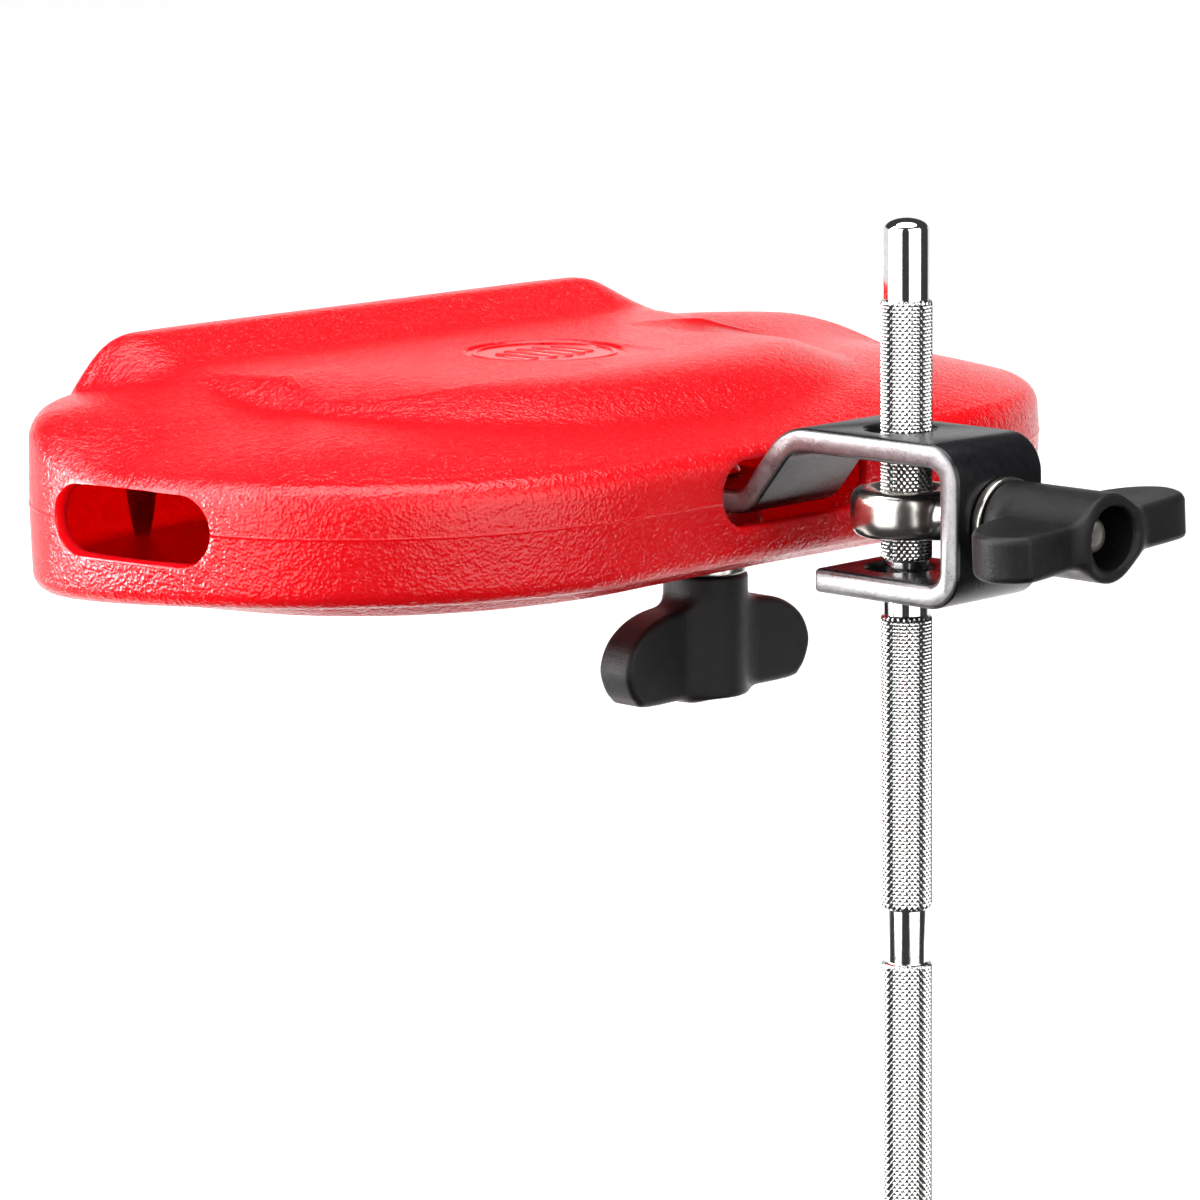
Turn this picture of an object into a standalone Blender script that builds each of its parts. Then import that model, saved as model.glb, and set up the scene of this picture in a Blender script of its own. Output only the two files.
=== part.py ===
"""Moulded percussion block on a bent-steel bracket, clamped to a knurled mounting rod.

Frame: the origin is the centre of the rod's flat lower end and +Z runs up the rod. +X runs along the
block's rear wall and +Y from the rod towards the player. Sizes are written in millimetres times MM.
"""

import math

import bmesh
import bpy
from mathutils import Matrix, Vector

MM = 0.001
GAP = 0.3 * MM  # clearance kept between two pieces that touch

# Rod: 3/8 inch bar with three knurled stretches, parted by two plain grooves.
ROD_LENGTH = 210.0 * MM
ROD_R = 4.75 * MM
ROD_PLAIN_R = 4.25 * MM
ROD_GROOVE_R = 4.13 * MM
ROD_TOP_PLAIN = 14.8 * MM
ROD_LOWER_PLAIN = 15.2 * MM
ROD_DOME = 2.2 * MM
ROD_GROOVE = 10.0 * MM
ROD_KNURL = 55.8 * MM
ROD_CHAMFER = 0.9 * MM

# Bracket: flat strap bent into a C round the rod, with a tongue that drops into the block.
CLAMP_Z = 156.0 * MM  # height of the eye bolt on the rod
STRAP_WIDTH = 24.0 * MM
STRAP = 4.5 * MM
C_HALF_HEIGHT = 15.1 * MM
C_BACK_Y = -22.55 * MM
C_LOWER_END_Y = 12.2 * MM
C_BEND_R = 4.95 * MM
SHOULDER_Y = 18.8 * MM
SHOULDER_BEND_R = 9.0 * MM
TONGUE_Y = 29.8 * MM
TONGUE_BEND_R = 6.0 * MM
TONGUE_END_Y = 62.0 * MM
TONGUE_UNDERSIDE = -2.7 * MM
STRAP_EDGE = 0.8 * MM
ROD_HOLE_R = 6.5 * MM
ROD_HOLE_Y = 1.45 * MM

# Eye bolt and carriage bolt, both 1/4 inch.
BOLT_R = 3.175 * MM
BOLT_HOLE_R = 3.55 * MM
EYE_OUTER_R = 10.4 * MM
EYE_INNER_R = 5.2 * MM
EYE_HEIGHT = 8.8 * MM
NECK_R = 3.9 * MM
NECK_END_Y = -15.0 * MM
MOUNT_Y = 51.0 * MM
HEAD_R = 6.8 * MM
HEAD_HEIGHT = 3.3 * MM
SQUARE_NECK = 6.3 * MM
SQUARE_HOLE = 7.0 * MM

# Wing nut, the same moulding twice, with a threaded metal insert.
HUB_R = 8.15 * MM
HUB_LENGTH = 23.4 * MM
WING_SPAN = 50.8 * MM
WING_THICKNESS = 8.5 * MM
RECESS_R = 5.65 * MM
INSERT_R = 5.0 * MM
INSERT_LENGTH = 11.8 * MM
RECESS_FLOOR = 12.9 * MM  # a thin lip of nylon lies over the insert
BOLT_PAST_LIP = 6.9 * MM
CLAMP_NUT_TILT = math.radians(3.5)  # how far from level its wings are left
WASHER = 1.75 * MM
CLAMP_WASHER_R = 8.6 * MM
MOUNT_WASHER_R = 8.0 * MM

# Block: heights are above or below the eye bolt's centre line.
WALL = 2.5 * MM
PARTING_Z = 1.2 * MM
RIM_Z = -11.6 * MM  # at the rear wall; towards the front it drops to the flat underside
RIM_FRONT_DROP = 3.3 * MM
PLATFORM_Z = -15.0 * MM
DRAFT = 0.3 * MM
TOP_FILLET = 4.5 * MM
BOTTOM_FILLET = 3.2 * MM
EDGE_Z = 9.4 * MM
FRONT_CORNER_RISE = 7.6 * MM
CORNER_START_Y = 94.0 * MM
CORNER_END_Y = 126.0 * MM
DOME_RISE = 7.2 * MM
DOME_REACH = 45.0 * MM
PLATEAU_Z = 21.8 * MM
PLATEAU_HALF_WIDTH = 62.0 * MM
RIDGE_HALF_WIDTH = 65.0 * MM
PLATEAU_CENTRE_Y = 121.0 * MM
PLATEAU_REACH = 54.0 * MM
PLATEAU_POWER = 2.6
RIDGE_RISE = 5.2 * MM
RIDGE_FOOT_Y = 127.5 * MM
RIDGE_CREST_Y = 145.0 * MM
SPINE_Y = 94.0 * MM
SPINE_SCALE = 0.35
EMBLEM_R = 16.0 * MM
EMBLEM_DEPTH = 0.5 * MM
SOUND_SLOT_Y = 89.5 * MM
SOUND_SLOT_Z = 1.4 * MM
SOUND_SLOT_LENGTH = 37.0 * MM
SOUND_SLOT_HEIGHT = 13.2 * MM
TONGUE_SLOT_X = -1.0 * MM
TONGUE_SLOT_Z = 2.1 * MM
TONGUE_SLOT_LENGTH = 39.4 * MM
TONGUE_SLOT_HEIGHT = 11.8 * MM
BOSS_R = 11.0 * MM
POST_R = 5.0 * MM
POST_X = 63.0 * MM
POST_Y = 142.5 * MM
POST_TOP = 17.0 * MM

# Half of the block's outline at the parting line, from the middle of the rear wall to the front.
HALF_OUTLINE = [
    (0, 26), (28, 26), (52, 26.6), (73, 32.5), (90, 43), (102.5, 58), (109, 75), (112.5, 93),
    (112.6, 109), (108.8, 119.5), (102, 128.5), (91.5, 138.5), (77, 146.5), (58, 151), (30, 152), (0, 152),
]  # fmt: skip
SPAN_STEPS = 3

TURN_STEPS = 40
SMALL_STEPS = 28

# Places that follow from the sizes.
CLAMP_WASHER_Y = C_BACK_Y - GAP
CLAMP_NUT_Y = CLAMP_WASHER_Y - WASHER - GAP
MOUNT_WASHER_Z = CLAMP_Z + PLATFORM_Z - GAP
MOUNT_NUT_Z = MOUNT_WASHER_Z - WASHER - GAP
BOLT_INTO_NUT = RECESS_FLOOR + BOLT_PAST_LIP

OUTWARD = Matrix.Rotation(math.radians(90), 4, "X")  # local +Z turned to world -Y
DOWNWARD = Matrix.Rotation(math.radians(180), 4, "X")  # local +Z turned to world -Z


# Scene, materials and small helpers


def clear_scene():
    for obj in list(bpy.data.objects):
        bpy.data.objects.remove(obj, do_unlink=True)


def new_collection(name):
    made = bpy.data.collections.new(name)
    bpy.context.scene.collection.children.link(made)
    return made


def new_material(name, colour, roughness, metallic=0.0):
    made = bpy.data.materials.new(name)
    made.use_nodes = True
    shader = made.node_tree.nodes["Principled BSDF"]
    shader.inputs["Base Color"].default_value = (*colour, 1.0)
    shader.inputs["Roughness"].default_value = roughness
    shader.inputs["Metallic"].default_value = metallic
    return made


def add_object(name, mesh, collection, world=None, parent=None, material=None):
    """An object at a world matrix, under a parent that has no rotation or scale."""
    obj = bpy.data.objects.new(name, mesh)
    collection.objects.link(obj)
    place = world or Matrix.Identity(4)
    if parent:
        obj.parent = parent
        place = Matrix.Translation(-axis_place[parent.name]) @ place
    obj.matrix_basis = place
    if material:
        mesh.materials.append(material)
    return obj


def add_axis(name, place, parent=None):
    """An empty on a joint's axis. Its world place is kept, for the pieces under it."""
    axis_place[name] = Vector(place)
    empty = add_object(name, None, parts, Matrix.Translation(place), parent)
    empty.empty_display_size = 10 * MM
    return empty


def at(x, y, z):
    return Matrix.Translation((x, y, z))


def smooth(obj, degrees=35):
    obj.data.shade_smooth()
    obj.data.set_sharp_from_angle(angle=math.radians(degrees))


def mesh_from(bm, name):
    mesh = bpy.data.meshes.new(name)
    bmesh.ops.recalc_face_normals(bm, faces=bm.faces)
    bm.to_mesh(mesh)
    bm.free()
    return mesh


def evaluated_mesh(obj):
    graph = bpy.context.evaluated_depsgraph_get()
    return bpy.data.meshes.new_from_object(obj.evaluated_get(graph))


def apply_modifiers(obj):
    mesh = evaluated_mesh(obj)
    obj.modifiers.clear()
    obj.data = mesh


def turned_mesh(name, profile, steps, closed=False):
    """The mesh of a profile of (radius, z) points turned about Z. It runs down its outer side."""
    mesh = bpy.data.meshes.new(name)
    points = [(radius, 0, z) for radius, z in profile]
    edges = [(i, i + 1) for i in range(len(points) - 1)]
    if closed:
        edges.append((len(points) - 1, 0))
    mesh.from_pydata(points, edges, [])
    obj = add_object(name, mesh, helpers)
    screw = obj.modifiers.new("turn", "SCREW")
    screw.axis = "Z"
    screw.angle = math.tau
    screw.steps = screw.render_steps = steps
    screw.use_merge_vertices = True
    screw.merge_threshold = 0.00001
    made = evaluated_mesh(obj)
    bpy.data.objects.remove(obj)
    bm = bmesh.new()
    bm.from_mesh(made)
    bmesh.ops.remove_doubles(bm, verts=bm.verts, dist=0.00001)
    return mesh_from(bm, name)


def ring_mesh(name, outer, inner, low, high, chamfer, steps):
    profile = [
        (inner, high),
        (outer - chamfer, high),
        (outer, high - chamfer),
        (outer, low + chamfer),
        (outer - chamfer, low),
        (inner, low),
    ]
    return turned_mesh(name, profile, steps, closed=True)


def cylinder_mesh(name, radius, low, high, steps=SMALL_STEPS):
    bm = bmesh.new()
    bmesh.ops.create_cone(
        bm, cap_ends=True, segments=steps, radius1=radius, radius2=radius, depth=high - low,
        matrix=at(0, 0, (low + high) / 2),
    )  # fmt: skip
    return mesh_from(bm, name)


def box_mesh(name, size):
    bm = bmesh.new()
    bmesh.ops.create_cube(bm, size=1.0, matrix=Matrix.Diagonal((*size, 1.0)))
    return mesh_from(bm, name)


def helper(name, mesh, world=None):
    """A cutter, or a shape to be joined, which isn't a piece."""
    obj = add_object(name, mesh, helpers, world)
    obj.hide_render = True
    obj.display_type = "WIRE"
    return obj


def combine(obj, other, operation="DIFFERENCE"):
    boolean = obj.modifiers.new(other.name, "BOOLEAN")
    boolean.operation = operation
    boolean.object = other
    return boolean


def flat_outline(name, points, half_thickness):
    """A mesh of a closed flat outline in local XY, as thick as given, with one clean face each side."""
    curve = bpy.data.curves.new(name, "CURVE")
    curve.dimensions = "2D"
    curve.fill_mode = "BOTH"
    curve.extrude = half_thickness
    spline = curve.splines.new("POLY")
    spline.points.add(len(points) - 1)
    for point, (x, y) in zip(spline.points, points):
        point.co = (x, y, 0, 1)
    spline.use_cyclic_u = True
    obj = add_object(name, curve, helpers)
    mesh = evaluated_mesh(obj)
    bpy.data.objects.remove(obj)
    bm = bmesh.new()
    bm.from_mesh(mesh)
    bmesh.ops.remove_doubles(bm, verts=bm.verts, dist=0.00001)
    flat = math.radians(0.1)
    bmesh.ops.dissolve_limit(bm, angle_limit=flat, verts=bm.verts, edges=bm.edges)
    return mesh_from(bm, name)


def round_edges(obj, width, segments, degrees=60):
    bevel = obj.modifiers.new("edges", "BEVEL")
    bevel.width = width
    bevel.segments = segments
    bevel.limit_method = "ANGLE"
    bevel.angle_limit = math.radians(degrees)
    return bevel


def smoothstep(value, low, high):
    share = min(max((value - low) / (high - low), 0.0), 1.0)
    return share * share * (3 - 2 * share)


# Rod


def rod_profile():
    """Points down the outer side: dome, plain top, then knurled stretches and grooves, to the flat foot."""
    points = [(0, ROD_LENGTH)]
    plain = ROD_PLAIN_R
    dome_base = ROD_LENGTH - ROD_DOME
    for step in range(1, 6):
        angle = math.radians(90 * step / 5)
        points.append((plain * math.sin(angle), dome_base + ROD_DOME * math.cos(angle)))
    knurl_top = ROD_LENGTH - ROD_TOP_PLAIN
    foot = ROD_LOWER_PLAIN
    lower_groove = foot + ROD_KNURL
    upper_groove = lower_groove + ROD_GROOVE + ROD_KNURL
    stretches = [
        (knurl_top, upper_groove + ROD_GROOVE),
        (upper_groove, lower_groove + ROD_GROOVE),
        (lower_groove, foot),
    ]
    bounds = [plain, ROD_GROOVE_R, ROD_GROOVE_R, plain]
    for index, (high, low) in enumerate(stretches):
        points += [
            (bounds[index], high),
            (ROD_R, high - (ROD_R - bounds[index])),
            (ROD_R, low + ROD_R - bounds[index + 1]),
            (bounds[index + 1], low),
        ]
    points += [(plain, ROD_CHAMFER), (plain - ROD_CHAMFER, 0), (0, 0)]
    return points


def make_rod():
    mesh = turned_mesh("rod", rod_profile(), TURN_STEPS)
    smooth(add_object("rod", mesh, parts, material=chrome))


# Bracket


def strap_outline():
    """The strap seen along X, as (y, z) points: its middle line, offset half a thickness each way."""
    middle_z = C_HALF_HEIGHT - STRAP / 2
    back = C_BACK_Y + STRAP / 2
    tongue_z = TONGUE_UNDERSIDE + STRAP / 2
    corners = [
        (C_LOWER_END_Y, -middle_z, 0),
        (back, -middle_z, C_BEND_R),
        (back, middle_z, C_BEND_R),
        (SHOULDER_Y, middle_z, SHOULDER_BEND_R),
        (TONGUE_Y, tongue_z, TONGUE_BEND_R),
        (TONGUE_END_Y, tongue_z, 0),
    ]
    one_side, other_side = [], []
    for index, (y, z, radius) in enumerate(corners):
        here = Vector((y, z))
        before = Vector(corners[max(index - 1, 0)][:2])
        after = Vector(corners[min(index + 1, len(corners) - 1)][:2])
        if not radius:
            along = (after - before).normalized()
            normal = Vector((-along.y, along.x)) * STRAP / 2
            one_side.append(here + normal)
            other_side.append(here - normal)
            continue
        into = (here - before).normalized()
        out = (after - here).normalized()
        turn = math.atan2(into.x * out.y - into.y * out.x, into.dot(out))
        side = math.copysign(1, turn)
        start = here - into * radius * math.tan(abs(turn) / 2)
        centre = start + Vector((-into.y, into.x)) * radius * side
        steps = max(3, round(abs(math.degrees(turn)) / 15))
        for step in range(steps + 1):
            swing = turn * step / steps
            spoke = Matrix.Rotation(swing, 2) @ (start - centre).normalized()
            one_side.append(centre + spoke * (radius - side * STRAP / 2))
            other_side.append(centre + spoke * (radius + side * STRAP / 2))
    return [tuple(p) for p in one_side] + [tuple(p) for p in reversed(other_side)]


def make_bracket(parent):
    along_x = Matrix(((0, 0, 1, 0), (1, 0, 0, 0), (0, 1, 0, 0), (0, 0, 0, 1)))
    mesh = flat_outline("bracket", strap_outline(), STRAP_WIDTH / 2)
    bracket = add_object("bracket", mesh, parts, at(0, 0, CLAMP_Z) @ along_x, parent, black_steel)
    round_edges(bracket, STRAP_EDGE, 2)
    reach = 2 * C_HALF_HEIGHT
    rod_hole = cylinder_mesh("rod_hole", ROD_HOLE_R, -reach, reach, TURN_STEPS)
    combine(bracket, helper("rod_hole", rod_hole, at(0, ROD_HOLE_Y, CLAMP_Z)))
    bolt_hole = cylinder_mesh("eye_bolt_hole", BOLT_HOLE_R, -2 * STRAP, 2 * STRAP)
    combine(bracket, helper("eye_bolt_hole", bolt_hole, at(0, C_BACK_Y, CLAMP_Z) @ OUTWARD))
    square = box_mesh("square_hole", (SQUARE_HOLE, SQUARE_HOLE, 4 * STRAP))
    combine(bracket, helper("square_hole", square, at(0, MOUNT_Y, CLAMP_Z)))
    smooth(bracket)


# Bolts, washers and wing nuts


def make_eye_bolt(parent):
    """A barrel-shaped ring round the rod, and a shank that leaves it towards -Y."""
    half_wall = (EYE_OUTER_R - EYE_INNER_R) / 2
    middle = EYE_INNER_R + half_wall
    profile = []
    for step in range(16):
        angle = math.radians(90 - 360 * step / 16)
        across, up = math.cos(angle), math.sin(angle)
        profile.append(
            (
                middle + half_wall * math.copysign(abs(across) ** 0.7, across),
                EYE_HEIGHT / 2 * math.copysign(abs(up) ** 0.6, up),
            )
        )
    mesh = turned_mesh("eye_bolt", profile, TURN_STEPS, closed=True)
    eye_bolt = add_object("eye_bolt", mesh, parts, at(0, 0, CLAMP_Z), parent, nickel)
    shank_end = CLAMP_NUT_Y - BOLT_INTO_NUT
    chamfer = 0.6 * MM
    root = middle - BOLT_R
    shank = turned_mesh(
        "shank",
        [
            (0, -shank_end),
            (BOLT_R - chamfer, -shank_end),
            (BOLT_R, -shank_end - chamfer),
            (BOLT_R, -NECK_END_Y),
            (NECK_R, EYE_OUTER_R),
            (NECK_R, middle),
            (0, root + BOLT_R),
        ],
        SMALL_STEPS,
    )
    combine(eye_bolt, helper("eye_bolt_shank", shank, at(0, 0, CLAMP_Z) @ OUTWARD), "UNION")
    smooth(eye_bolt)


def make_mount_bolt(parent):
    """A carriage bolt: domed head on the tongue, square neck in it, and a shank down through the block."""
    under_head = CLAMP_Z + TONGUE_UNDERSIDE + STRAP + GAP
    dome = [
        (HEAD_R * math.sin(math.radians(15 * step)), HEAD_HEIGHT * math.cos(math.radians(15 * step)))
        for step in range(6)
    ]
    shank_end = MOUNT_NUT_Z - BOLT_INTO_NUT - under_head
    chamfer = 0.6 * MM
    profile = dome + [
        (HEAD_R, 0.25 * MM),
        (HEAD_R - 0.25 * MM, 0),
        (BOLT_R, 0),
        (BOLT_R, shank_end + chamfer),
        (BOLT_R - chamfer, shank_end),
        (0, shank_end),
    ]
    mesh = turned_mesh("mount_bolt", profile, SMALL_STEPS)
    bolt = add_object("mount_bolt", mesh, parts, at(0, MOUNT_Y, under_head), parent, zinc)
    neck = box_mesh("square_neck", (SQUARE_NECK, SQUARE_NECK, STRAP))
    neck_place = at(0, MOUNT_Y, under_head - 0.3 * STRAP)
    combine(bolt, helper("square_neck", neck, neck_place), "UNION")
    smooth(bolt)


def wing_outline():
    """The wings seen square on, as (x, z) points, z from the hub's base to its free end."""
    tip = WING_SPAN / 2
    half = [
        (5.0 * MM, 5.2 * MM),
        (10.0 * MM, 5.6 * MM),
        (15.5 * MM, 6.4 * MM),
        (20.0 * MM, 8.2 * MM),
        (23.6 * MM, 11.2 * MM),
        (tip, 15.4 * MM),
        (24.7 * MM, 19.0 * MM),
        (22.8 * MM, 21.8 * MM),
        (19.6 * MM, 23.1 * MM),
        (5.0 * MM, 23.1 * MM),
    ]
    return half + [(-x, z) for x, z in reversed(half)]


def wing_nut_mesh():
    """One moulded wing nut, base at z = 0: round hub, two flat wings, insert pocket and end recess."""
    chamfer = 0.6 * MM
    hub = turned_mesh(
        "hub",
        [
            (0, HUB_LENGTH),
            (HUB_R - chamfer, HUB_LENGTH),
            (HUB_R, HUB_LENGTH - chamfer),
            (HUB_R, chamfer),
            (HUB_R - chamfer, 0),
            (0, 0),
        ],
        SMALL_STEPS,
    )
    nut = helper("wing_nut_hub", hub)
    stand = Matrix.Rotation(math.radians(90), 4, "X")
    wings = flat_outline("wings", wing_outline(), WING_THICKNESS / 2)
    wings.transform(stand)
    slab = helper("wing_nut_wings", wings)
    round_edges(slab, 1.5 * MM, 2)
    apply_modifiers(slab)
    combine(nut, slab, "UNION")
    recess = cylinder_mesh("recess", RECESS_R, RECESS_FLOOR, 2 * HUB_LENGTH)
    combine(nut, helper("wing_nut_recess", recess))
    pocket = cylinder_mesh("pocket", INSERT_R + GAP, -HUB_LENGTH, INSERT_LENGTH + GAP)
    combine(nut, helper("wing_nut_pocket", pocket))
    bore = cylinder_mesh("bore", BOLT_HOLE_R, 0, HUB_LENGTH)
    combine(nut, helper("wing_nut_bore", bore))
    mesh = evaluated_mesh(nut)
    bpy.data.objects.remove(nut)
    return mesh


def make_nut(prefix, world, parent):
    nut = add_object(f"{prefix}_wing_nut", wing_nut_mesh(), parts, world, parent, black_nylon)
    smooth(nut)
    insert = ring_mesh("insert", INSERT_R, BOLT_HOLE_R, 0, INSERT_LENGTH, 0.4 * MM, SMALL_STEPS)
    smooth(add_object(f"{prefix}_nut_insert", insert, parts, world, parent, zinc))


def make_washer(name, radius, world, parent):
    mesh = ring_mesh(name, radius, BOLT_HOLE_R, 0, WASHER, 0.3 * MM, TURN_STEPS)
    smooth(add_object(name, mesh, parts, world, parent, nickel))


# Block


def closed_curve(points, steps):
    """Points on a smooth closed curve through the given ones (Catmull-Rom)."""
    made = []
    count = len(points)
    for index in range(count):
        a, b, c, d = (Vector(points[(index + k) % count]) for k in (-1, 0, 1, 2))
        for step in range(steps):
            t = step / steps
            made.append(
                0.5 * (2 * b + (c - a) * t + (2 * a - 5 * b + 4 * c - d) * t**2 + (3 * b - a - 3 * c + d) * t**3)
            )
    return made


def block_outline():
    right = [(x * MM, y * MM) for x, y in HALF_OUTLINE]
    left = [(-x, y) for x, y in reversed(right[1:-1])]
    return closed_curve(right + left, SPAN_STEPS)


def rounded_ramp(value, head, foot):
    """From 0 to 1: it curves in over the first part of the way, runs straight, and curves out over the last."""
    value = min(max(value, 0.0), 1.0)
    steep = 1 / (1 - head / 2 - foot / 2)
    if value < head:
        return steep * value**2 / (2 * head)
    if value > 1 - foot:
        return 1 - steep * (1 - value) ** 2 / (2 * foot)
    return steep * (value - head / 2)


def top_height(x, y, inset):
    """The top surface: a low dome that rises from the rim, and the raised plateau with its ridge.

    The plateau's edge is a rounded U in plan. It is steep at the sides and fades out at the rear.
    """
    corner = smoothstep(y, CORNER_START_Y, CORNER_END_Y)
    share = min(inset / DOME_REACH, 1.0)
    dome = DOME_RISE * (1 - 0.5 * corner) * (1 - (1 - share) ** 2)
    low = EDGE_Z + FRONT_CORNER_RISE * corner + dome
    front = smoothstep(y, 112 * MM, RIDGE_CREST_Y)
    half_width = PLATEAU_HALF_WIDTH + (RIDGE_HALF_WIDTH - PLATEAU_HALF_WIDTH) * front
    sideways = (abs(x) / half_width) ** PLATEAU_POWER
    backward = (max(PLATEAU_CENTRE_Y - y, 0.0) / PLATEAU_REACH) ** PLATEAU_POWER
    rear_share = backward / (sideways + backward + 1e-9)
    fade = 1.3 + 1.3 * rear_share + 0.35 * front
    head = 0.35 + 0.15 * rear_share
    drop = rounded_ramp((sideways + backward - 0.8) / (fade - 0.8), head, 0.25)
    up_ridge = (y - RIDGE_FOOT_Y) / (RIDGE_CREST_Y - RIDGE_FOOT_Y)
    ridge = RIDGE_RISE * rounded_ramp(up_ridge, 0.25, 0.15)
    return low + (1 - drop) * (PLATEAU_Z + ridge - low)


def block_rows():
    """How each ring of the skin lies, from underneath to the top: (inset, base, height above it)."""
    rows = [(22 * MM, "platform", 0), (13 * MM, "platform", 0), (8.5 * MM, "rim", 0)]
    for degrees in (0, 45, 90):
        swing = math.radians(degrees)
        inset = BOTTOM_FILLET * (1 - math.sin(swing)) + DRAFT
        rows.append((inset, "rim", BOTTOM_FILLET * (1 - math.cos(swing))))
    rows.append((0.0, "parting", 0))
    for degrees in (0, 30, 60, 90):
        swing = math.radians(degrees)
        inset = TOP_FILLET * (1 - math.cos(swing)) + DRAFT
        rows.append((inset, "shoulder", -TOP_FILLET * (1 - math.sin(swing))))
    rows += [(inset * MM, "top", 0) for inset in (7.5, 9.5, 11.5, 14.0, 16.5, 20.0, 24.0, 29.0, 34.0, 39.0, 44.0)]
    return rows


def rim_height(y):
    return RIM_Z - RIM_FRONT_DROP * smoothstep(y, 40 * MM, 130 * MM)


def ring_points(outline, inset, base, above):
    """One ring of the skin: the outline moved in towards the block's spine."""
    made = []
    for point in outline:
        spine = Vector((point.x * SPINE_SCALE, SPINE_Y))
        inwards = (spine - point).normalized()
        place = point + inwards * inset
        shoulder = point + inwards * (TOP_FILLET + DRAFT)
        heights = {
            "platform": PLATFORM_Z,
            "rim": rim_height(place.y),
            "parting": PARTING_Z,
            "shoulder": top_height(shoulder.x, shoulder.y, TOP_FILLET),
            "top": top_height(place.x, place.y, inset),
        }
        made.append((place.x, place.y, heights[base] + above))
    return made


def block_skin():
    """The block's outer skin, lofted ring by ring, with a flat face closing each end."""
    outline = block_outline()
    bm = bmesh.new()
    rings = [[bm.verts.new(p) for p in ring_points(outline, *row)] for row in block_rows()]
    count = len(outline)
    for low, high in zip(rings, rings[1:]):
        for i in range(count):
            j = (i + 1) % count
            bm.faces.new((low[i], low[j], high[j], high[i]))
    bm.faces.new(list(reversed(rings[0])))
    bm.faces.new(rings[-1])
    bmesh.ops.triangulate(bm, faces=[f for f in bm.faces if len(f.verts) > 4])
    return mesh_from(bm, "block_shell")


def slot_cutter(name, length, height, depth, world):
    """A cutter with a long round-ended section in local XZ, depth along local Y."""
    radius = height / 2
    straight = length / 2 - radius
    points = []
    for centre, first in ((straight, -90), (-straight, 90)):
        for step in range(9):
            angle = math.radians(first + 22.5 * step)
            points.append((centre + radius * math.cos(angle), radius * math.sin(angle)))
    mesh = flat_outline(name, points, depth / 2)
    mesh.transform(Matrix.Rotation(math.radians(90), 4, "X"))
    return helper(name, mesh, world)


def post_profile():
    """A post that hangs from the top wall and narrows like a bullet to the floor."""
    foot = PLATFORM_Z + WALL / 2
    points = [(0, POST_TOP)]
    for step in range(7):
        share = 1 - step / 6
        points.append((POST_R * math.sqrt(0.04 + 0.96 * share), foot + (POST_TOP - foot) * share))
    return points + [(0, foot)]


def make_block(parent):
    """The hollow block: its skin made a wall, a boss and two tapered posts joined to it, and its openings cut."""
    block = add_object("block_shell", block_skin(), parts, at(0, 0, CLAMP_Z), parent, red_plastic)
    solidify = block.modifiers.new("wall", "SOLIDIFY")
    solidify.thickness = WALL
    solidify.offset = -1
    solidify.use_even_offset = True

    boss_top = TONGUE_UNDERSIDE - GAP
    in_floor = PLATFORM_Z + WALL / 2
    boss = cylinder_mesh("boss", BOSS_R, in_floor, boss_top)
    combine(block, helper("boss", boss, at(0, MOUNT_Y, CLAMP_Z)), "UNION")
    for side in (-1, 1):
        post = turned_mesh("post", post_profile(), 16)
        name = "post_left" if side < 0 else "post_right"
        combine(block, helper(name, post, at(side * POST_X, POST_Y, CLAMP_Z)), "UNION")

    bolt_hole = cylinder_mesh("mount_hole", BOLT_HOLE_R, 2 * PLATFORM_Z, 0)
    combine(block, helper("mount_hole", bolt_hole, at(0, MOUNT_Y, CLAMP_Z)))
    rear = slot_cutter(
        "tongue_slot", TONGUE_SLOT_LENGTH, TONGUE_SLOT_HEIGHT, 4 * WALL,
        at(TONGUE_SLOT_X, HALF_OUTLINE[0][1] * MM, CLAMP_Z + TONGUE_SLOT_Z),
    )  # fmt: skip
    combine(block, rear)
    across = Matrix.Rotation(math.radians(90), 4, "Z")
    for side in (-1, 1):
        name = "sound_slot_left" if side < 0 else "sound_slot_right"
        place = at(side * 112 * MM, SOUND_SLOT_Y, CLAMP_Z + SOUND_SLOT_Z) @ across
        combine(block, slot_cutter(name, SOUND_SLOT_LENGTH, SOUND_SLOT_HEIGHT, 7 * WALL, place))
    emblem = cylinder_mesh("emblem_recess", EMBLEM_R, PLATEAU_Z - EMBLEM_DEPTH, 2 * PLATEAU_Z)
    combine(block, helper("emblem_recess", emblem, at(0, SPINE_Y, CLAMP_Z)))
    smooth(block)


# The whole assembly

axis_place = {}
clear_scene()
parts = new_collection("percussion_block")
helpers = new_collection("helpers")

chrome = new_material("knurled_chrome", (0.72, 0.73, 0.74), 0.22, 1.0)
black_steel = new_material("black_coated_steel", (0.02, 0.02, 0.022), 0.42)
nickel = new_material("polished_nickel", (0.62, 0.60, 0.56), 0.18, 1.0)
zinc = new_material("zinc_plated_steel", (0.60, 0.58, 0.54), 0.32, 1.0)
black_nylon = new_material("black_nylon", (0.018, 0.018, 0.020), 0.55)
red_plastic = new_material("red_polyethylene", (0.80, 0.012, 0.022), 0.38)

make_rod()

height_axis = add_axis("height_axis", (0, 0, CLAMP_Z))
make_eye_bolt(height_axis)

clamp_axis = add_axis("clamp_axis", (0, C_BACK_Y, CLAMP_Z), height_axis)
make_bracket(clamp_axis)
make_mount_bolt(clamp_axis)
make_washer("clamp_washer", CLAMP_WASHER_R, at(0, CLAMP_WASHER_Y, CLAMP_Z) @ OUTWARD, clamp_axis)

clamp_nut_axis = add_axis("clamp_nut_axis", (0, CLAMP_NUT_Y, CLAMP_Z), clamp_axis)
tilt = Matrix.Rotation(-CLAMP_NUT_TILT, 4, "Y")
make_nut("clamp", at(0, CLAMP_NUT_Y, CLAMP_Z) @ tilt @ OUTWARD, clamp_nut_axis)

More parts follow.
